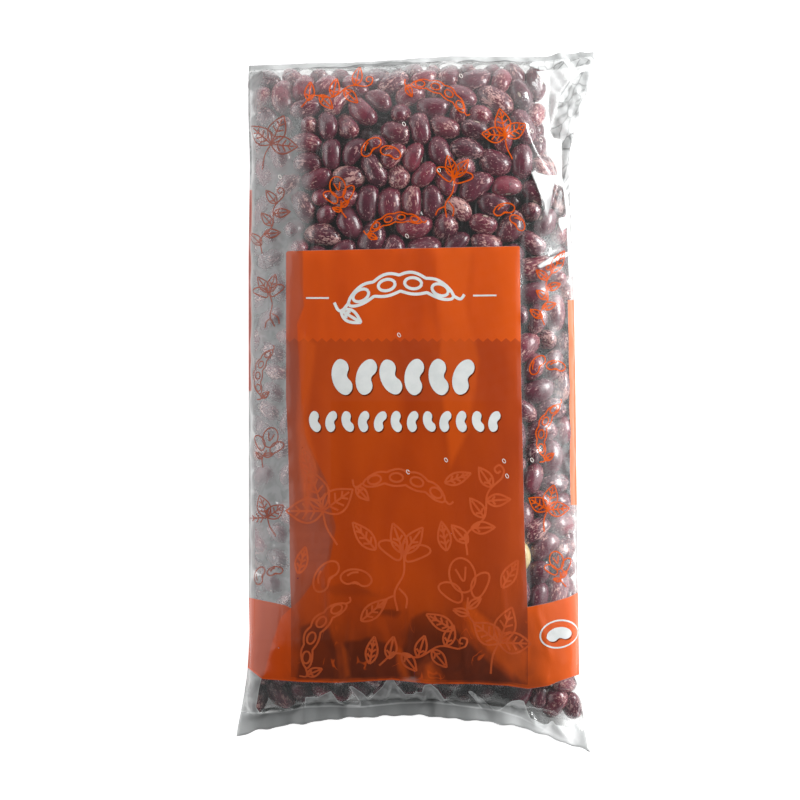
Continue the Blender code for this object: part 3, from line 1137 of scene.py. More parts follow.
def film_values(points, side, touch, slack):
    """What the film's finish reads at each point of one side, in the order of FILM_ATTRIBUTES."""
    px, py = pixels_of(points)
    rows, columns = px.shape
    width = np.median(np.linalg.norm(np.diff(points, axis=1), axis=2).sum(axis=1)) / MM
    share = np.abs(np.linspace(-0.5, 0.5, columns))[None, :].repeat(rows, axis=0)
    around = share * width if side > 0 else FILM_WIDTH - share * width
    print_marks, milk_marks, painted_marks = front_marks(px, py) if side > 0 else back_marks(points)
    plan_marks = [px / 100, py / 100, around / 100]
    lie_marks = [touch, slack, np.full_like(px, side > 0)]
    painted_marks.append(lean_by(px, py))
    return [*plan_marks, *print_marks, fin_by(points), *milk_marks, *lie_marks, *painted_marks]


def keep_film_values(mesh, layers, touches, slacks):
    """Keeps those values on the joined mesh, three in each attribute."""
    front, back = (film_values(layers[side], side, touches[side], slacks[side]) for side in (1, -1))
    values = [np.concatenate([f.reshape(-1), b[1:-1, 1:-1].reshape(-1)]) for f, b in zip(front, back)]
    for place, name in enumerate(FILM_ATTRIBUTES):
        keep(mesh, name, np.stack(values[3 * place : 3 * place + 3], axis=1))


def lean_by(px, py):
    """How far right of the lean line each pixel lies, in millimetres."""
    rows, columns = np.array(LEAN_LINE, float).T
    return (px - np.interp(py, rows, columns)) * PIXEL / MM


def fin_by(points):
    """How far inside the flat sealed strips each point lies, in millimetres."""
    px, py = pixels_of(points)
    columns, rows = np.array(FIN_LINE, float).T
    in_foot = (py - np.interp(px, columns, rows)) * PIXEL / MM
    in_top = TOP_SEAL - (points[-1:, :, 1] - points[..., 1]) / MM
    return np.maximum(in_foot, in_top)


def fold_grey(px, py):
    """How light the milky folds are painted: painted light and shade along the foot, and painted light and
    dark facets in the empty corner.
    """
    foot = np.interp(px, *np.array(FOOT_GREYS).T)
    # painted light and dark facets in the empty corner
    ear = 0.72 + 0.18 * zigzag(px * 0.045 + py * 0.021) * zigzag(px * 0.02 - py * 0.05)
    upper = np.where(px > 400, ear, 0.62)
    return np.where((py > 400) & ((px > 330) | (py > 640)), foot, upper)


def film_reading(finish):
    """What the finish knows at each point of the film, a named wire for each."""
    film = SimpleNamespace()
    film.column, film.row, film.around = finish.parts(finish.kept("film_plan"))
    film.by_panel, film.by_band, film.by_fin = finish.parts(finish.kept("film_ink"))
    film.by_folds, film.by_glare, film.light = finish.parts(finish.kept("film_milk"))
    film.touch, film.slack, film.front = finish.parts(finish.kept("film_lie"))
    film.by_dark, film.by_pale, film.from_lean = finish.parts(finish.kept("film_painted_marks"))
    film.at = finish.place()
    film.side, _, _ = finish.parts(film.at)
    film.tall = finish.stretched(film.at, (1.0, 0.30, 1.0))
    film.cloud = finish.noise(film.tall, 42.0, 2.0, 0.5, 0.4).rise(0.3, 0.72)
    film.wide_cloud = finish.noise(film.tall, 15.0, 1.0).rise(0.3, 0.7)
    film.facets = finish.noise(film.at, 150.0, 1.0, 0.5, 1.5).rise(0.35, 0.65)
    film.on_left = film.column.rise(4.16, 4.15)
    film.at_ear = film.row.rise(2.6, 2.3)
    film.in_fin = film.by_fin.rise(-0.10, 0.10)
    film.leaning = film.from_lean.rise(0.6, -0.6) * film.front
    film.at_top = film.at_ear * film.by_fin.rise(-7.0, -2.0) * film.column.rise(5.6, 5.2)
    film.top_haze = film.at_top * (film.cloud * 0.20 + 0.26)
    left_side = film.around.rise(0.69, 0.77) * film.on_left
    film.turning_down = left_side * film.front * film.row.rise(6.5, 6.3)
    right_side = film.around.rise(0.50, 0.62) * (1.0 - film.on_left)
    film.right_side = right_side * film.front * film.row.rise(6.5, 6.1)
    return film


def print_fields(film):
    """Adds where the film carries ink: the panel and its rust part, the side fields, and all of it."""
    film.panel = film.by_panel.rise(-0.12, 0.12)
    band = film.by_band.rise(-0.12, 0.12)
    middle, tooth, depth = ZIGZAG
    wave = (film.column * (100.0 / tooth)).maths("PINGPONG", 0.5) * 2.0
    divider = middle / 100.0 + (wave - 0.5) * (depth / 100.0)
    film.rust_part = (film.row - divider).rise(-0.004, 0.004) * film.panel
    left_rows = between(film.row, LEFT_FIELD[0] / 100, LEFT_FIELD[1] / 100, 0.003)
    right_rows = between(film.row, RIGHT_FIELD[0] / 100, RIGHT_FIELD[1] / 100, 0.003)
    film.left_field = left_rows * film.side.rise(-0.0099, -0.0101) * film.around.rise(0.775, 0.777)
    film.right_field = right_rows * film.side.rise(0.0099, 0.0101) * film.around.rise(0.733, 0.735)
    film.ink = largest(film.panel, band, film.left_field, film.right_field)


def ink_colour(finish, film):
    """Bright orange over rust, a little cloudy: painted light to the right, painted shade on the left and
    towards the foot, painted shade and light on the folds there, and painted glints on thin wrinkles.
    """
    row, at = film.row, film.at
    down = row.rise(3.4, 6.9)
    foot = row.rise(5.8, 6.75)
    bright = finish.blend(film.cloud, *BRIGHT_ORANGE)
    # painted light: the bright ink turns lighter towards the right
    bright = finish.blend(film.column.rise(4.4, 5.3) * 0.5, bright, PAINTED_LIGHT_ORANGE)
    # painted shade: the rust ink darkens towards the foot
    rust = finish.blend(down * 0.35, finish.blend(film.cloud, *RUST), RUST_IN_PAINTED_SHADE)
    stripes = finish.noise(finish.stretched(at, (1.0, 0.16, 1.0)), 95.0, 2.0, 0.55, 0.6)
    wander = (stripes - 0.5) * 3.6
    # painted shade in the folds at the foot
    painted_fold_shade = (stripes.rise(0.60, 0.42) * 0.75 + film.touch * 0.35).clamped()
    central = film.side.size().rise(0.062, 0.046)
    on_print = film.by_band.rise(0.2, 1.4).larger(row.rise(6.0, 5.9))
    # painted shade on the dark folds, painted light on the light folds
    shaded = (film.by_dark + wander).rise(-0.9, 1.6) * on_print
    lit = (film.by_pale + wander).rise(-1.2, 2.2)
    # painted glints on thin wrinkles at the foot
    arcs = (finish.noise(finish.stretched(at, (1.0, 0.45, 1.0)), 130.0, 1.0, 0.5, 1.0) - 0.5).size()
    short = finish.noise(at, 75.0, 1.0).rise(0.53, 0.62)
    painted_wrinkle_glints = arcs.rise(0.024, 0.002) * short * foot * film.rust_part
    foot_rim = film.by_band.rise(1.0, 0.5) * row.rise(6.6, 6.7)
    return finish.layered(
        finish.blend(film.rust_part, bright, rust),
        (film.left_field * 0.6, (0.26, 0.050, 0.045)),
        (film.right_field * 0.4, (0.75, 0.28, 0.15)),
        # painted shade and veil on the left of the lean line
        (film.leaning * 0.29, (0.06, 0.055, 0.05)),
        # painted shade towards the foot, deepest in its folds
        (foot * painted_fold_shade * central * 0.50, (0.050, 0.0095, 0.0035)),
        (foot * central * 0.25, (0.10, 0.018, 0.005)),
        # a cloudy darker tone, deepening towards the foot as painted shade
        (film.wide_cloud * (down * 0.18 + 0.10) * film.panel, (0.10, 0.02, 0.006)),
        # painted shade in the dark folds, then painted light on the light folds
        (shaded * 0.66 * row.rise(5.5, 6.5), (0.060, 0.010, 0.0035)),
        (lit * 0.45, (0.74, 0.105, 0.004)),
        # painted glints on thin wrinkles
        (painted_wrinkle_glints * 0.55, (0.72, 0.095, 0.008)),
        (foot_rim * 0.5, (0.70, 0.085, 0.006)),
    )


def milky_share(finish, film):
    """How milky the film is where it is folded, sealed, slack or turned to the side, with a painted veil of
    reflected light on the left and a painted sheen on the right.
    """
    row, front = film.row, film.front
    folds = film.by_folds.rise(-0.25, 0.25) * (film.facets * 0.16 + film.light * 0.20 + 0.62)
    fin = film.in_fin * (0.95 - film.at_ear * 0.15)
    seam = film.by_fin.rise(-2.4, -1.6) * (1.0 - film.at_ear) * film.column.rise(2.95, 3.1) * 0.88
    slack = film.slack * (film.facets * 0.10 + 0.05) * film.at_ear
    over_panel = row.rise(2.6, 2.2)
    # painted reflection: a grey veil over the clear film left of the lean line
    soft_lean = (film.from_lean + (film.wide_cloud - 0.5) * 9.0).rise(4.0, -6.0)
    soft_lean = soft_lean * row.rise(0.5, 1.7) * over_panel
    painted_veil = (film.leaning * (1.0 - over_panel) + soft_lean * front) * film.on_left
    painted_veil = painted_veil * row.rise(6.7, 6.5) * (1.0 - film.ink)
    painted_veil = painted_veil * (film.facets * 0.05 + film.wide_cloud * 0.10 + 0.36 - film.touch * 0.19)
    # painted sheen: a light haze over the beans on the right side
    right_painted_sheen = film.right_side * film.around.rise(0.56, 0.72) * (film.facets * 0.16 + 0.02)
    scratches = finish.noise(finish.stretched(film.at, (1.0, 0.05, 1.0)), 800.0, 2.0, 0.6)
    haze = (scratches.rise(0.60, 0.76) * 0.08 + 0.022) * front
    left_edge = film.turning_down * 0.66
    return largest(folds, fin, seam, slack, left_edge, right_painted_sheen, painted_veil, film.top_haze, haze)


def painted_shade_share(film):
    """How much painted shade darkens the film: over the gaps between the folds at the foot, and on its
    back, where it darkens the gaps between the beans.
    """
    column, front = film.column, film.front
    gaps = film.by_dark.rise(-0.5, 0.6) * (1.0 - film.ink) * (column.rise(2.6, 3.2) * 0.10 + 0.62)
    gaps = gaps * (1.0 - film.touch * 0.55) * front
    in_ear = film.at_ear * column.rise(5.1, 5.4)
    round_edge = film.row.rise(6.55, 6.8) * film.around.rise(0.80, 0.95)
    # a dark back film: painted shade for the gaps between the beans
    behind = (1.0 - front) * (round_edge * 0.60 + 0.22) * (1.0 - in_ear)
    return gaps.larger(behind)


def milk_level(finish, film):
    """How light the milky film is painted: painted highlights along its folds' and seal's edges, painted
    light and dark facets in its empty corner, and painted shade where it turns down at the left.
    """
    off_ear, off_fin = 1.0 - film.at_ear, 1.0 - film.in_fin
    bent = finish.add("ShaderNodeVectorRotate", {"rotation_type": "Z_AXIS"}, Vector=film.at, Angle=0.45)
    bent = finish.stretched(bent, (1.0, 0.42, 1.0))
    shard, _, _ = finish.parts(finish.cells(bent, 260.0, output="Color"))
    ridges = finish.cells(bent, 260.0, "DISTANCE_TO_EDGE").rise(0.10, 0.02)
    # painted light and dark facets of the crumpled corner
    crumpled = (shard - 0.50) * 0.62 - ridges * 0.32
    crumpled = crumpled * (film.slack * 1.6).clamped() * film.front
    fin_edge_highlight = film.by_fin.size().rise(0.55, 0.15) * off_ear * 0.25
    fold_edge_highlight = film.by_folds.size().rise(0.50, 0.10) * off_ear * off_fin * 0.34
    uneven = (film.facets - 0.5) * 0.08 * off_fin + crumpled * film.at_ear * off_fin
    # painted shade where the film turns down at the left
    uneven = uneven + fin_edge_highlight + fold_edge_highlight - film.turning_down * 0.22 + film.top_haze * 0.4
    level = (film.light + uneven - film.in_fin * film.at_ear * 0.14).clamped()
    return level * film.front.larger(film.in_fin)


def film_relief(finish, film):
    """Broad waves, fine pulls and specks, and sharp crumples in the empty corner."""
    fine = finish.noise(film.tall, 240.0, 3.0, 0.55, 0.3)
    broad = finish.noise(film.tall, 60.0, 2.0, 0.5, 0.8)
    specks = finish.noise(film.at, 640.0, 2.0, 0.55)
    crumple = finish.cells(finish.stretched(film.at, (1.0, 0.7, 1.0)), 210.0)
    crumple = crumple * film.slack * film.at_ear * (1.0 - film.in_fin)
    return finish.bump(broad * 0.7 + fine * 0.3 + specks * 0.08 + crumple * 0.8, 0.0010, 0.35)


def film_finish():
    """Clear glossy film: it shines, it carries orange ink, and it turns milky where it lies slack; painted
    shade, painted light and painted glare are laid into its milk and ink.
    """
    finish = Finish("printed film")
    film = film_reading(finish)
    print_fields(film)
    lit, dark = milky_share(finish, film), painted_shade_share(film)
    # painted shade darkens the milk's grey where it outweighs the milk
    darkening = (dark - lit).rise(0.0, 0.05)
    # painted glare: white patches where the slack film catches the light
    glare = film.by_glare.rise(-0.35, 0.55) * (film.facets * 0.22 + 0.72)
    milk = largest(lit, dark, glare)
    grey = finish.blend(milk_level(finish, film) * (1.0 - darkening), *MILK_GREYS)
    grey = finish.blend(glare, grey, GLARE_WHITE)
    cover = film.ink * 0.985
    matter = 1.0 - (1.0 - cover) * (1.0 - milk)
    tint = finish.blend(cover, grey, ink_colour(finish, film))
    facing = finish.add("ShaderNodeLayerWeight", {}, 0.5, output="Facing")
    gloss = facing**5.0 * (1.0 - SHEEN) + SHEEN
    gloss = gloss * (1.0 - film.at_top * 0.75 - film.right_side * 0.22)
    opacity = 1.0 - (1.0 - matter) * (1.0 - gloss)
    metal = (1.0 - matter / (opacity + 0.0001)).clamped()
    surface = finish.principled(
        Base_Color=finish.blend(metal, tint, CLEAR_GLOSS),
        Metallic=metal,
        Roughness=film.cloud * 0.05 + milk * 0.2 + film.right_side * 0.16 + 0.14,
        Specular_IOR_Level=0.4,
        Normal=film_relief(finish, film),
    )
    clear = finish.add("ShaderNodeBsdfTransparent", {}, (0.985, 0.99, 0.985, 1.0))
    return finish.done(finish.add("ShaderNodeMixShader", {}, opacity, clear, surface))


# ---------------------------------------------------------------- drawings in the print


def turned(points, angle):
    c, s = math.cos(math.radians(angle)), math.sin(math.radians(angle))
    return np.asarray(points, float) @ np.array([[c, s], [-s, c]])


def oval(centre, length, width, angle=0.0, bend=0.0):
    t = np.linspace(0, math.tau, 33)
    x = length / 2 * np.cos(t)
    y = width / 2 * np.sin(t) + bend * ((2 * x / length) ** 2 - 0.5)
    return turned(np.stack([x, y], axis=1), angle) + centre


def kidney_outline(centre, length, width, angle):
    """A bean's outline, bent round its scar."""
    t = np.linspace(0, math.tau, 57)
    along = np.sign(np.cos(t)) * np.abs(np.cos(t)) ** 0.85
    across = np.sign(np.sin(t)) * np.abs(np.sin(t)) ** 0.80 * width / 2
    across = np.where(across < 0, across * (1.0 - 0.36 * np.exp(-((along / 0.42) ** 2))), across)
    radius = 0.74 * length
    bend = along * length / 2 / radius
    x = (radius + across) * np.sin(bend)
    y = (radius + across) * np.cos(bend) - 0.93 * radius
    return turned(np.stack([x, y], axis=1), angle) + centre


def curve(*corners):
    """A smooth line through the corners."""
    corners = np.array(corners, float)
    ends = np.concatenate([2 * corners[:1] - corners[1:2], corners, 2 * corners[-1:] - corners[-2:-1]])
    t = np.linspace(0, 1, 9)[:-1, None]
    line = []
    for a, b, c, d in zip(ends, ends[1:], ends[2:], ends[3:]):
        square, cube = 2 * a - 5 * b + 4 * c - d, 3 * b - a - 3 * c + d
        line.append(0.5 * (2 * b + (c - a) * t + square * t**2 + cube * t**3))
    return np.concatenate([*line, corners[-1:]])


def leaf(base, length, width, angle, veins=0):
    t = np.linspace(0, 1, 17)
    edge = width / 2 * np.sin(math.pi * t**0.8)
    outline = np.concatenate([np.stack([t, edge], 1), np.stack([t, -edge], 1)[::-1]]) * (length, 1)
    lines = [outline, np.array([(0.0, 0.0), (0.88 * length, 0.0)])]
    for vein in range(veins):
        start = (0.22 + 0.2 * vein) * length
        reach = 0.72 * width / 2 * math.sin(math.pi * (0.36 + 0.2 * vein) ** 0.8)
        for side in (1, -1):
            lines.append(np.array([(start, 0.0), (start + 0.13 * length, side * reach)]))
    return [turned(line, angle) + base for line in lines]


def trefoil():
    lines = [curve((0.04, -0.5), (-0.02, -0.25), (0.0, -0.02))]
    leaves = (((0.0, -0.02), 0.52, 90), ((0.0, -0.04), 0.46, 18), ((0.0, -0.04), 0.46, 162))
    for base, length, angle in leaves:
        lines += leaf(base, length, 0.30, angle, 3)
    return lines


def pod():
    t = np.linspace(0, 1, 49)
    swell = 0.030 * np.abs(np.sin(4 * math.pi * t)) + 0.075 * np.sin(math.pi * t) ** 0.35
    arch = 0.16 * (1 - (2 * t - 1) ** 2)
    upper = np.stack([t - 0.5, arch + swell], axis=1)
    lower = np.stack([t - 0.5, arch - swell], axis=1)
    lines = [upper, lower, curve((0.5, 0.0), (0.56, -0.03), (0.60, 0.01))]
    lines.append(curve((-0.5, 0.0), (-0.56, -0.06), (-0.60, -0.05), (-0.63, 0.02)))
    for place in (0.125, 0.375, 0.625, 0.875):
        rise = 0.16 * (1 - (2 * place - 1) ** 2)
        lean = math.degrees(math.atan(-0.64 * (2 * place - 1)))
        lines.append(oval((place - 0.5, rise), 0.16, 0.105, lean))
    lines += leaf((-0.57, -0.06), 0.22, 0.11, -35, 1)
    return lines


def kidney(centre, length, angle):
    line = kidney_outline(centre, length, 0.50 * length, angle)
    scar = turned(curve((-0.10, -0.17), (0.0, -0.14), (0.10, -0.17)) * length, angle) + centre
    shine = turned(curve((-0.30, 0.06), (-0.14, 0.18), (0.05, 0.22)) * length, angle) + centre
    return [line, scar, shine]


def bean_pair():
    return kidney((-0.20, 0.10), 0.56, 35) + kidney((0.24, -0.10), 0.50, -28)


def seedling():
    lines = [curve((0.02, -0.5), (-0.04, -0.30), (0.03, -0.08), (0.0, 0.14))]
    lines.append(curve((-0.03, -0.33), (-0.13, -0.40), (-0.16, -0.50)))
    lines.append(curve((0.0, -0.25), (0.10, -0.34), (0.11, -0.46)))
    lines += [oval((-0.15, 0.16), 0.30, 0.15, 150, 0.03), oval((0.15, 0.16), 0.30, 0.15, 30, -0.03)]
    return lines + leaf((0, 0.14), 0.36, 0.17, 62, 2) + leaf((0, 0.14), 0.36, 0.17, 118, 2)


def vine():
    lines = [curve((-0.5, -0.06), (-0.3, 0.05), (-0.05, -0.03), (0.2, 0.06), (0.42, 0.0))]
    lines.append(curve((0.42, 0.0), (0.50, 0.02), (0.53, 0.09), (0.47, 0.12), (0.44, 0.07), (0.48, 0.05)))
    leaves = ((-0.38, 0.0, 70), (-0.22, 0.04, -60), (-0.05, -0.03, 65), (0.12, 0.03, -58), (0.28, 0.05, 62))
    for x, y, angle in leaves:
        lines += leaf((x, y), 0.26, 0.13, angle, 1)
    return lines


def blossom():
    lines = [curve((0.02, -0.5), (-0.05, -0.3), (0.0, -0.1)), oval((0.0, 0.20), 0.46, 0.34, 90, 0.0)]
    lines += [oval((-0.20, 0.02), 0.36, 0.20, 130, 0.03), oval((0.20, 0.02), 0.36, 0.20, 50, -0.03)]
    lines.append(curve((-0.07, 0.30), (0.0, 0.12), (0.07, 0.30)))
    return lines + leaf((-0.04, -0.32), 0.22, 0.10, 150) + leaf((-0.03, -0.24), 0.22, 0.10, 25)


def single_leaf():
    return leaf((-0.5, 0.0), 1.0, 0.42, 0, 3)


# Each drawing, its middle and its size in pixels of the photograph, and its turn
CLEAR_DRAWINGS = (
    (vine, 336, 94, 74, 14), (pod, 438, 98, 60, -28), (trefoil, 505, 134, 52, 12),
    (bean_pair, 380, 150, 42, 8), (seedling, 452, 186, 64, -12), (blossom, 340, 196, 46, 14),
    (pod, 396, 226, 52, 10), (bean_pair, 510, 216, 38, -20), (vine, 547, 296, 58, 78),
    (bean_pair, 546, 366, 38, 20), (pod, 551, 430, 54, 72), (trefoil, 548, 508, 48, -14),
    (blossom, 559, 568, 40, 18), (single_leaf, 558, 262, 26, 60),
)
VEILED_DRAWINGS = (
    (trefoil, 272, 142, 58, -24), (vine, 272, 222, 66, 66), (seedling, 270, 300, 54, 8),
    (pod, 266, 372, 46, 74), (blossom, 268, 446, 44, -16), (trefoil, 267, 516, 44, 20),
    (bean_pair, 267, 574, 32, 40),
)
PANEL_DRAWINGS = (
    (trefoil, 322, 508, 80, 18), (pod, 404, 492, 84, -12), (vine, 484, 512, 92, 62),
    (seedling, 402, 566, 90, -8), (bean_pair, 340, 578, 62, 20), (blossom, 466, 590, 76, 14),
    (pod, 326, 636, 76, 58), (trefoil, 500, 640, 70, -20), (vine, 422, 654, 88, 8),
    (single_leaf, 364, 536, 36, 130), (single_leaf, 374, 610, 34, 40), (single_leaf, 444, 536, 30, 100),
    (single_leaf, 510, 574, 32, 60), (single_leaf, 307, 462, 32, 110), (single_leaf, 458, 478, 28, 20),
    (single_leaf, 440, 622, 32, 150), (single_leaf, 372, 650, 28, 80), (single_leaf, 302, 560, 28, 75),
)
# Rows of white bean shapes, in pixels: first column, row, step, length, width, and each one's lean
BEAN_ROWS = (
    (343.0, 377.0, 24.2, 36, 18.5, (78, 104, 70, 96, 82, 108)),
    (315.5, 421.5, 16.3, 21, 10.5, (80, 100, 74, 96, 108, 84, 98, 72, 102, 88, 76, 104)),
    (559.0, 635.0, 0.0, 25, 13, (168,)),
)
WHITE_POD = (pod, 401, 300, 106, 4)
WHITE_RULES = (((306, 298.0), (329, 298.0)), ((473, 295.6), (496.5, 295.4)))
WHITE_OVAL = ((559, 634), 38, 27, 168)
SHADE_OFFSET = (1.1, 1.2)  # pixels
# Widths of the lines, in millimetres
LINE_WIDTH = 0.62
PANEL_LINE_WIDTH = 0.95
WHITE_LINE_WIDTH = 1.35
RULE_WIDTH = 0.75
PIN_HOLE_WIDTH = 0.34
# Heights over the film: the white print lies on its brown shade
PRINT_LIFT = 0.06 * MM
WHITE_LIFT = 1.4 * PRINT_LIFT
SHADE_LIFT = 0.7 * PRINT_LIFT
# Small melted holes that let the air out; their light rims are melted film, painted light enough to stand
# for their glint too
PIN_HOLES = (
    (404, 124), (280, 177), (461, 76), (532, 131), (541, 140), (439, 170), (407, 236), (532, 460),
    (408, 472), (446, 460), (504, 461), (507, 476), (399, 335),
)


def on_film(tree, pixels, lift):
    """The points of the film seen at these pixels, lifted off it a little, and its normals there."""
    eye = Vector(eye_place())
    points, normals = [], []
    for px, py in pixels:
        target = Vector((*plan(px, py), OUTLINE_LEVEL))
        hit = tree.ray_cast(eye, (target - eye).normalized())
        if hit[0] is None:
            points.append(None)
            normals.append(None)
            continue
        normal = hit[1] if hit[1].z > 0 else -hit[1]
        points.append(np.array(hit[0] + normal * lift))
        normals.append(np.array(normal))
    return points, normals


def ribbons(tree, lines, width, lift=PRINT_LIFT, step=1.5):
    """Flat strips that follow the film along lines given in pixels of the photograph."""
    points, faces = [], []
    for line in lines:
        length = np.cumsum(np.linalg.norm(np.diff(line, axis=0), axis=1))[-1]
        pixels = evenly(line, max(3, int(length / step) + 1))
        middle, normal = on_film(tree, pixels, lift)
        if any(point is None for point in middle):
            continue
        middle, normal = np.array(middle), np.array(normal)
        aside = unit(np.cross(normal, np.gradient(middle, axis=0))) * width * MM / 2
        base = len(points)
        for left, right in zip(middle + aside, middle - aside):
            points += [left, right]
        for k in range(base, base + 2 * len(middle) - 2, 2):
            faces.append((k, k + 1, k + 3, k + 2))
    return points, faces


def blots(tree, outlines, lift=PRINT_LIFT):
    """Filled shapes that follow the film."""
    points, faces = [], []
    for outline in outlines:
        outline = outline[:-1]
        centre = outline.mean(axis=0)
        rings = [centre + (outline - centre) * share for share in (1.0, 0.72, 0.4, 0.08)]
        placed, _ = on_film(tree, np.concatenate(rings), lift)
        base, count = len(points), len(outline)
        points += placed
        for ring in range(3):
            a = base + ring * count
            for k in range(count):
                after = (k + 1) % count
                faces.append((a + k, a + after, a + count + after, a + count + k))
        faces.append(tuple(base + 3 * count + k for k in range(count)))
    return points, faces


def joined(*forms):
    """Several forms' points and faces as one."""
    points, faces = [], []
    for more_points, more_faces in forms:
        base = len(points)
        points += more_points
        faces += [tuple(index + base for index in face) for face in more_faces]
    return points, faces


def drawn(drawings):
    """The lines of drawings, in pixels of the photograph."""
    lines = []
    for drawing, px, py, size, angle in drawings:
        for line in drawing():
            lines.append(turned(line * size, angle) * (1, -1) + (px, py))
    return lines


def printed_beans():
    """Plain bean shapes: a large row over a small one on the panel, and one on the band."""
    shapes = []
    for first, row, apart, length, width, leans in BEAN_ROWS:
        for number, lean in enumerate(leans):
            shapes.append(kidney_outline((first + apart * number, row), length, width, lean))
    return shapes


# Each printed piece, its ink's name, its two tones, and how much it covers where it isn't opaque
INKS = (
    ("line_print", "orange line ink", (0.80, 0.115, 0.005), (0.64, 0.080, 0.004), 0.80),
    # the drawings under the left veil: their ink is painted duller and darker, as painted veil and shade
    ("veiled_line_print", "veiled line ink", (0.40, 0.095, 0.055), (0.30, 0.075, 0.050), 0.62),
    ("panel_line_print", "pale line ink", (0.78, 0.150, 0.045), (0.66, 0.110, 0.030), 0.52),
    ("white_print", "white ink", (0.76, 0.78, 0.77), (0.68, 0.71, 0.70)),
    ("white_print_shade", "brown ink", (0.10, 0.018, 0.006), (0.08, 0.014, 0.005), 0.55),
    ("pin_holes", "melted film", (0.80, 0.74, 0.70), (0.70, 0.62, 0.58)),
)


def ink(name, colour, deeper, cover=None):
    """Glossy ink, a little uneven."""
    finish = Finish(name)
    patch = finish.noise(finish.place(), 160.0, 3.0, 0.6)
    surface = finish.principled(
        Base_Color=finish.blend(patch.rise(0.35, 0.7), colour, deeper),
        Roughness=patch * 0.1 + 0.16,
        Specular_IOR_Level=0.3,
    )
    if cover is None:
        return finish.done(surface)
    clear = finish.add("ShaderNodeBsdfTransparent", {})
    share = patch.rise(0.2, 0.8) * 0.2 + cover
    return finish.done(finish.add("ShaderNodeMixShader", {}, share, clear, surface))


def make_print(tree):
    """The drawings, the white rules and bean shapes, and the pin-holes, as thin pieces on the film."""
    shapes = printed_beans()
    rules = [np.array(rule, float) for rule in WHITE_RULES] + [oval(*WHITE_OVAL)]
    white = joined(
        ribbons(tree, drawn((WHITE_POD,)), WHITE_LINE_WIDTH, WHITE_LIFT),
        blots(tree, shapes, WHITE_LIFT),
        ribbons(tree, rules, RULE_WIDTH, WHITE_LIFT),
    )
    holes = [oval(hole, 4.4, 2.6, 60) for hole in PIN_HOLES]
    forms = {
        "line_print": ribbons(tree, drawn(CLEAR_DRAWINGS), LINE_WIDTH),
        "veiled_line_print": ribbons(tree, drawn(VEILED_DRAWINGS), LINE_WIDTH),
        "panel_line_print": ribbons(tree, drawn(PANEL_DRAWINGS), PANEL_LINE_WIDTH),
        "white_print": white,
        "white_print_shade": blots(tree, [shape + SHADE_OFFSET for shape in shapes], SHADE_LIFT),
        "pin_holes": ribbons(tree, holes, PIN_HOLE_WIDTH, step=0.8),
    }
    return [new_piece(name, *forms[name], ink(*look)) for name, *look in INKS]


# ---------------------------------------------------------------- floor, light, camera


def floor_piece():
    deselect_all()
    bpy.ops.mesh.primitive_plane_add(size=8.0, location=(0, 0, -0.0004))
    floor = bpy.context.object
    floor.name = "floor"
    finish = Finish("pale floor")
    grain = finish.noise(finish.place(), 3.0, 2.0)
    colour = finish.blend(grain, (0.93, 0.93, 0.93), (0.95, 0.95, 0.95))
    paper = finish.principled(
        Base_Color=colour, Roughness=0.8, Emission_Color=(1.0, 1.0, 1.0), Emission_Strength=0.75
    )
    floor.data.materials.append(finish.done(paper))


def softbox(name, direction, distance, width, height, radiance):
    light = bpy.data.lights.new(name, "AREA")
    light.shape = "RECTANGLE"
    light.size = width
    light.size_y = height
    light.energy = radiance * width * height * math.pi
    box = bpy.data.objects.new(name, light)
    direction = Vector(direction).normalized()
    box.location = direction * distance
    box.rotation_mode = "QUATERNION"
    box.rotation_quaternion = direction.to_track_quat("Z", "Y")
    bpy.context.scene.collection.objects.link(box)


# Axis, from and to along it, and the brightness at each
SKY_RAMPS = ((2, 0.55, 0.92, 0.95, 0.03), (0, -0.9, 0.6, 0.55, 1.0), (1, -0.70, 0.05, 0.12, 1.0))


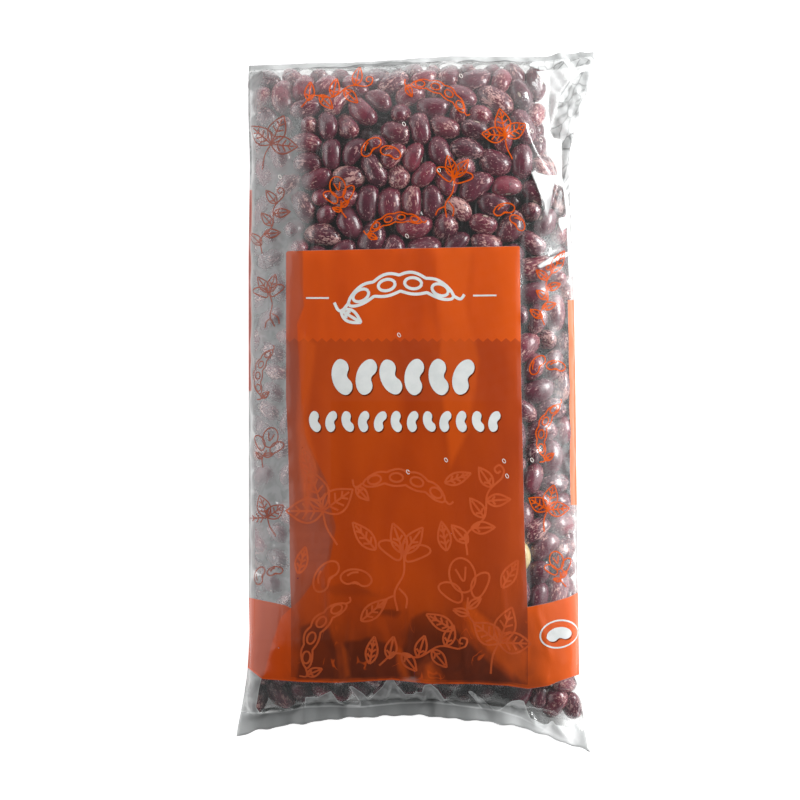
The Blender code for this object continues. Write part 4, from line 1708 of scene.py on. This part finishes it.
def sky():
    """A dim ceiling that brightens towards the walls, most on the right and least at the foot."""
    world = bpy.data.worlds.new("studio")
    bpy.context.scene.world = world
    world.use_nodes = True
    nodes, links = world.node_tree.nodes, world.node_tree.links
    where = nodes.new("ShaderNodeTexCoord")
    parts = nodes.new("ShaderNodeSeparateXYZ")
    links.new(where.outputs["Generated"], parts.inputs[0])
    level = None
    for axis, start, end, low, high in SKY_RAMPS:
        share = nodes.new("ShaderNodeMapRange")
        share.interpolation_type = "SMOOTHSTEP"
        for name, value in (("From Min", start), ("From Max", end), ("To Min", low), ("To Max", high)):
            share.inputs[name].default_value = value
        links.new(parts.outputs[axis], share.inputs["Value"])
        if level is None:
            level = share.outputs["Result"]
            continue
        product = nodes.new("ShaderNodeMath")
        product.operation = "MULTIPLY"
        links.new(level, product.inputs[0])
        links.new(share.outputs["Result"], product.inputs[1])
        level = product.outputs[0]
    links.new(level, nodes["Background"].inputs["Strength"])
    nodes["Background"].inputs["Color"].default_value = (1.0, 1.0, 1.0, 1.0)


def studio():
    sky()
    softbox("left panel", (-0.90, 0.05, 0.36), 1.3, 2.0, 1.15, 1.6)
    softbox("left upper panel", (-0.60, 0.05, 0.80), 1.3, 2.0, 0.30, 0.45)
    softbox("right key", (0.86, 0.34, 0.42), 1.3, 0.75, 0.42, 17.0)
    softbox("right panel", (0.74, 0.10, 0.66), 1.3, 1.8, 0.60, 0.5)


def camera():
    data = bpy.data.cameras.new("camera")
    data.sensor_width = SENSOR_WIDTH
    data.lens = SENSOR_WIDTH * CAMERA_DISTANCE / (FRAME_PIXELS * PIXEL)
    data.clip_start = 0.05
    data.clip_end = 50.0
    eye = bpy.data.objects.new("camera", data)
    eye.location = eye_place()
    bpy.context.scene.collection.objects.link(eye)
    bpy.context.scene.camera = eye


# ---------------------------------------------------------------- build


def main():
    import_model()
    bpy.context.scene.view_settings.view_transform = "Standard"
    _, coarse_front, coarse_back, _ = form(*COARSE_GRID)
    beans = make_beans(coarse_front, coarse_back)
    film, film_front = make_film(mesh_tree(beans), film_finish())
    for piece in (*beans, *make_print(grid_tree(film_front))):
        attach(piece, "root")
    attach(film, "root")
    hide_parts("bean_bag")
    floor_piece()
    studio()
    camera()


main()
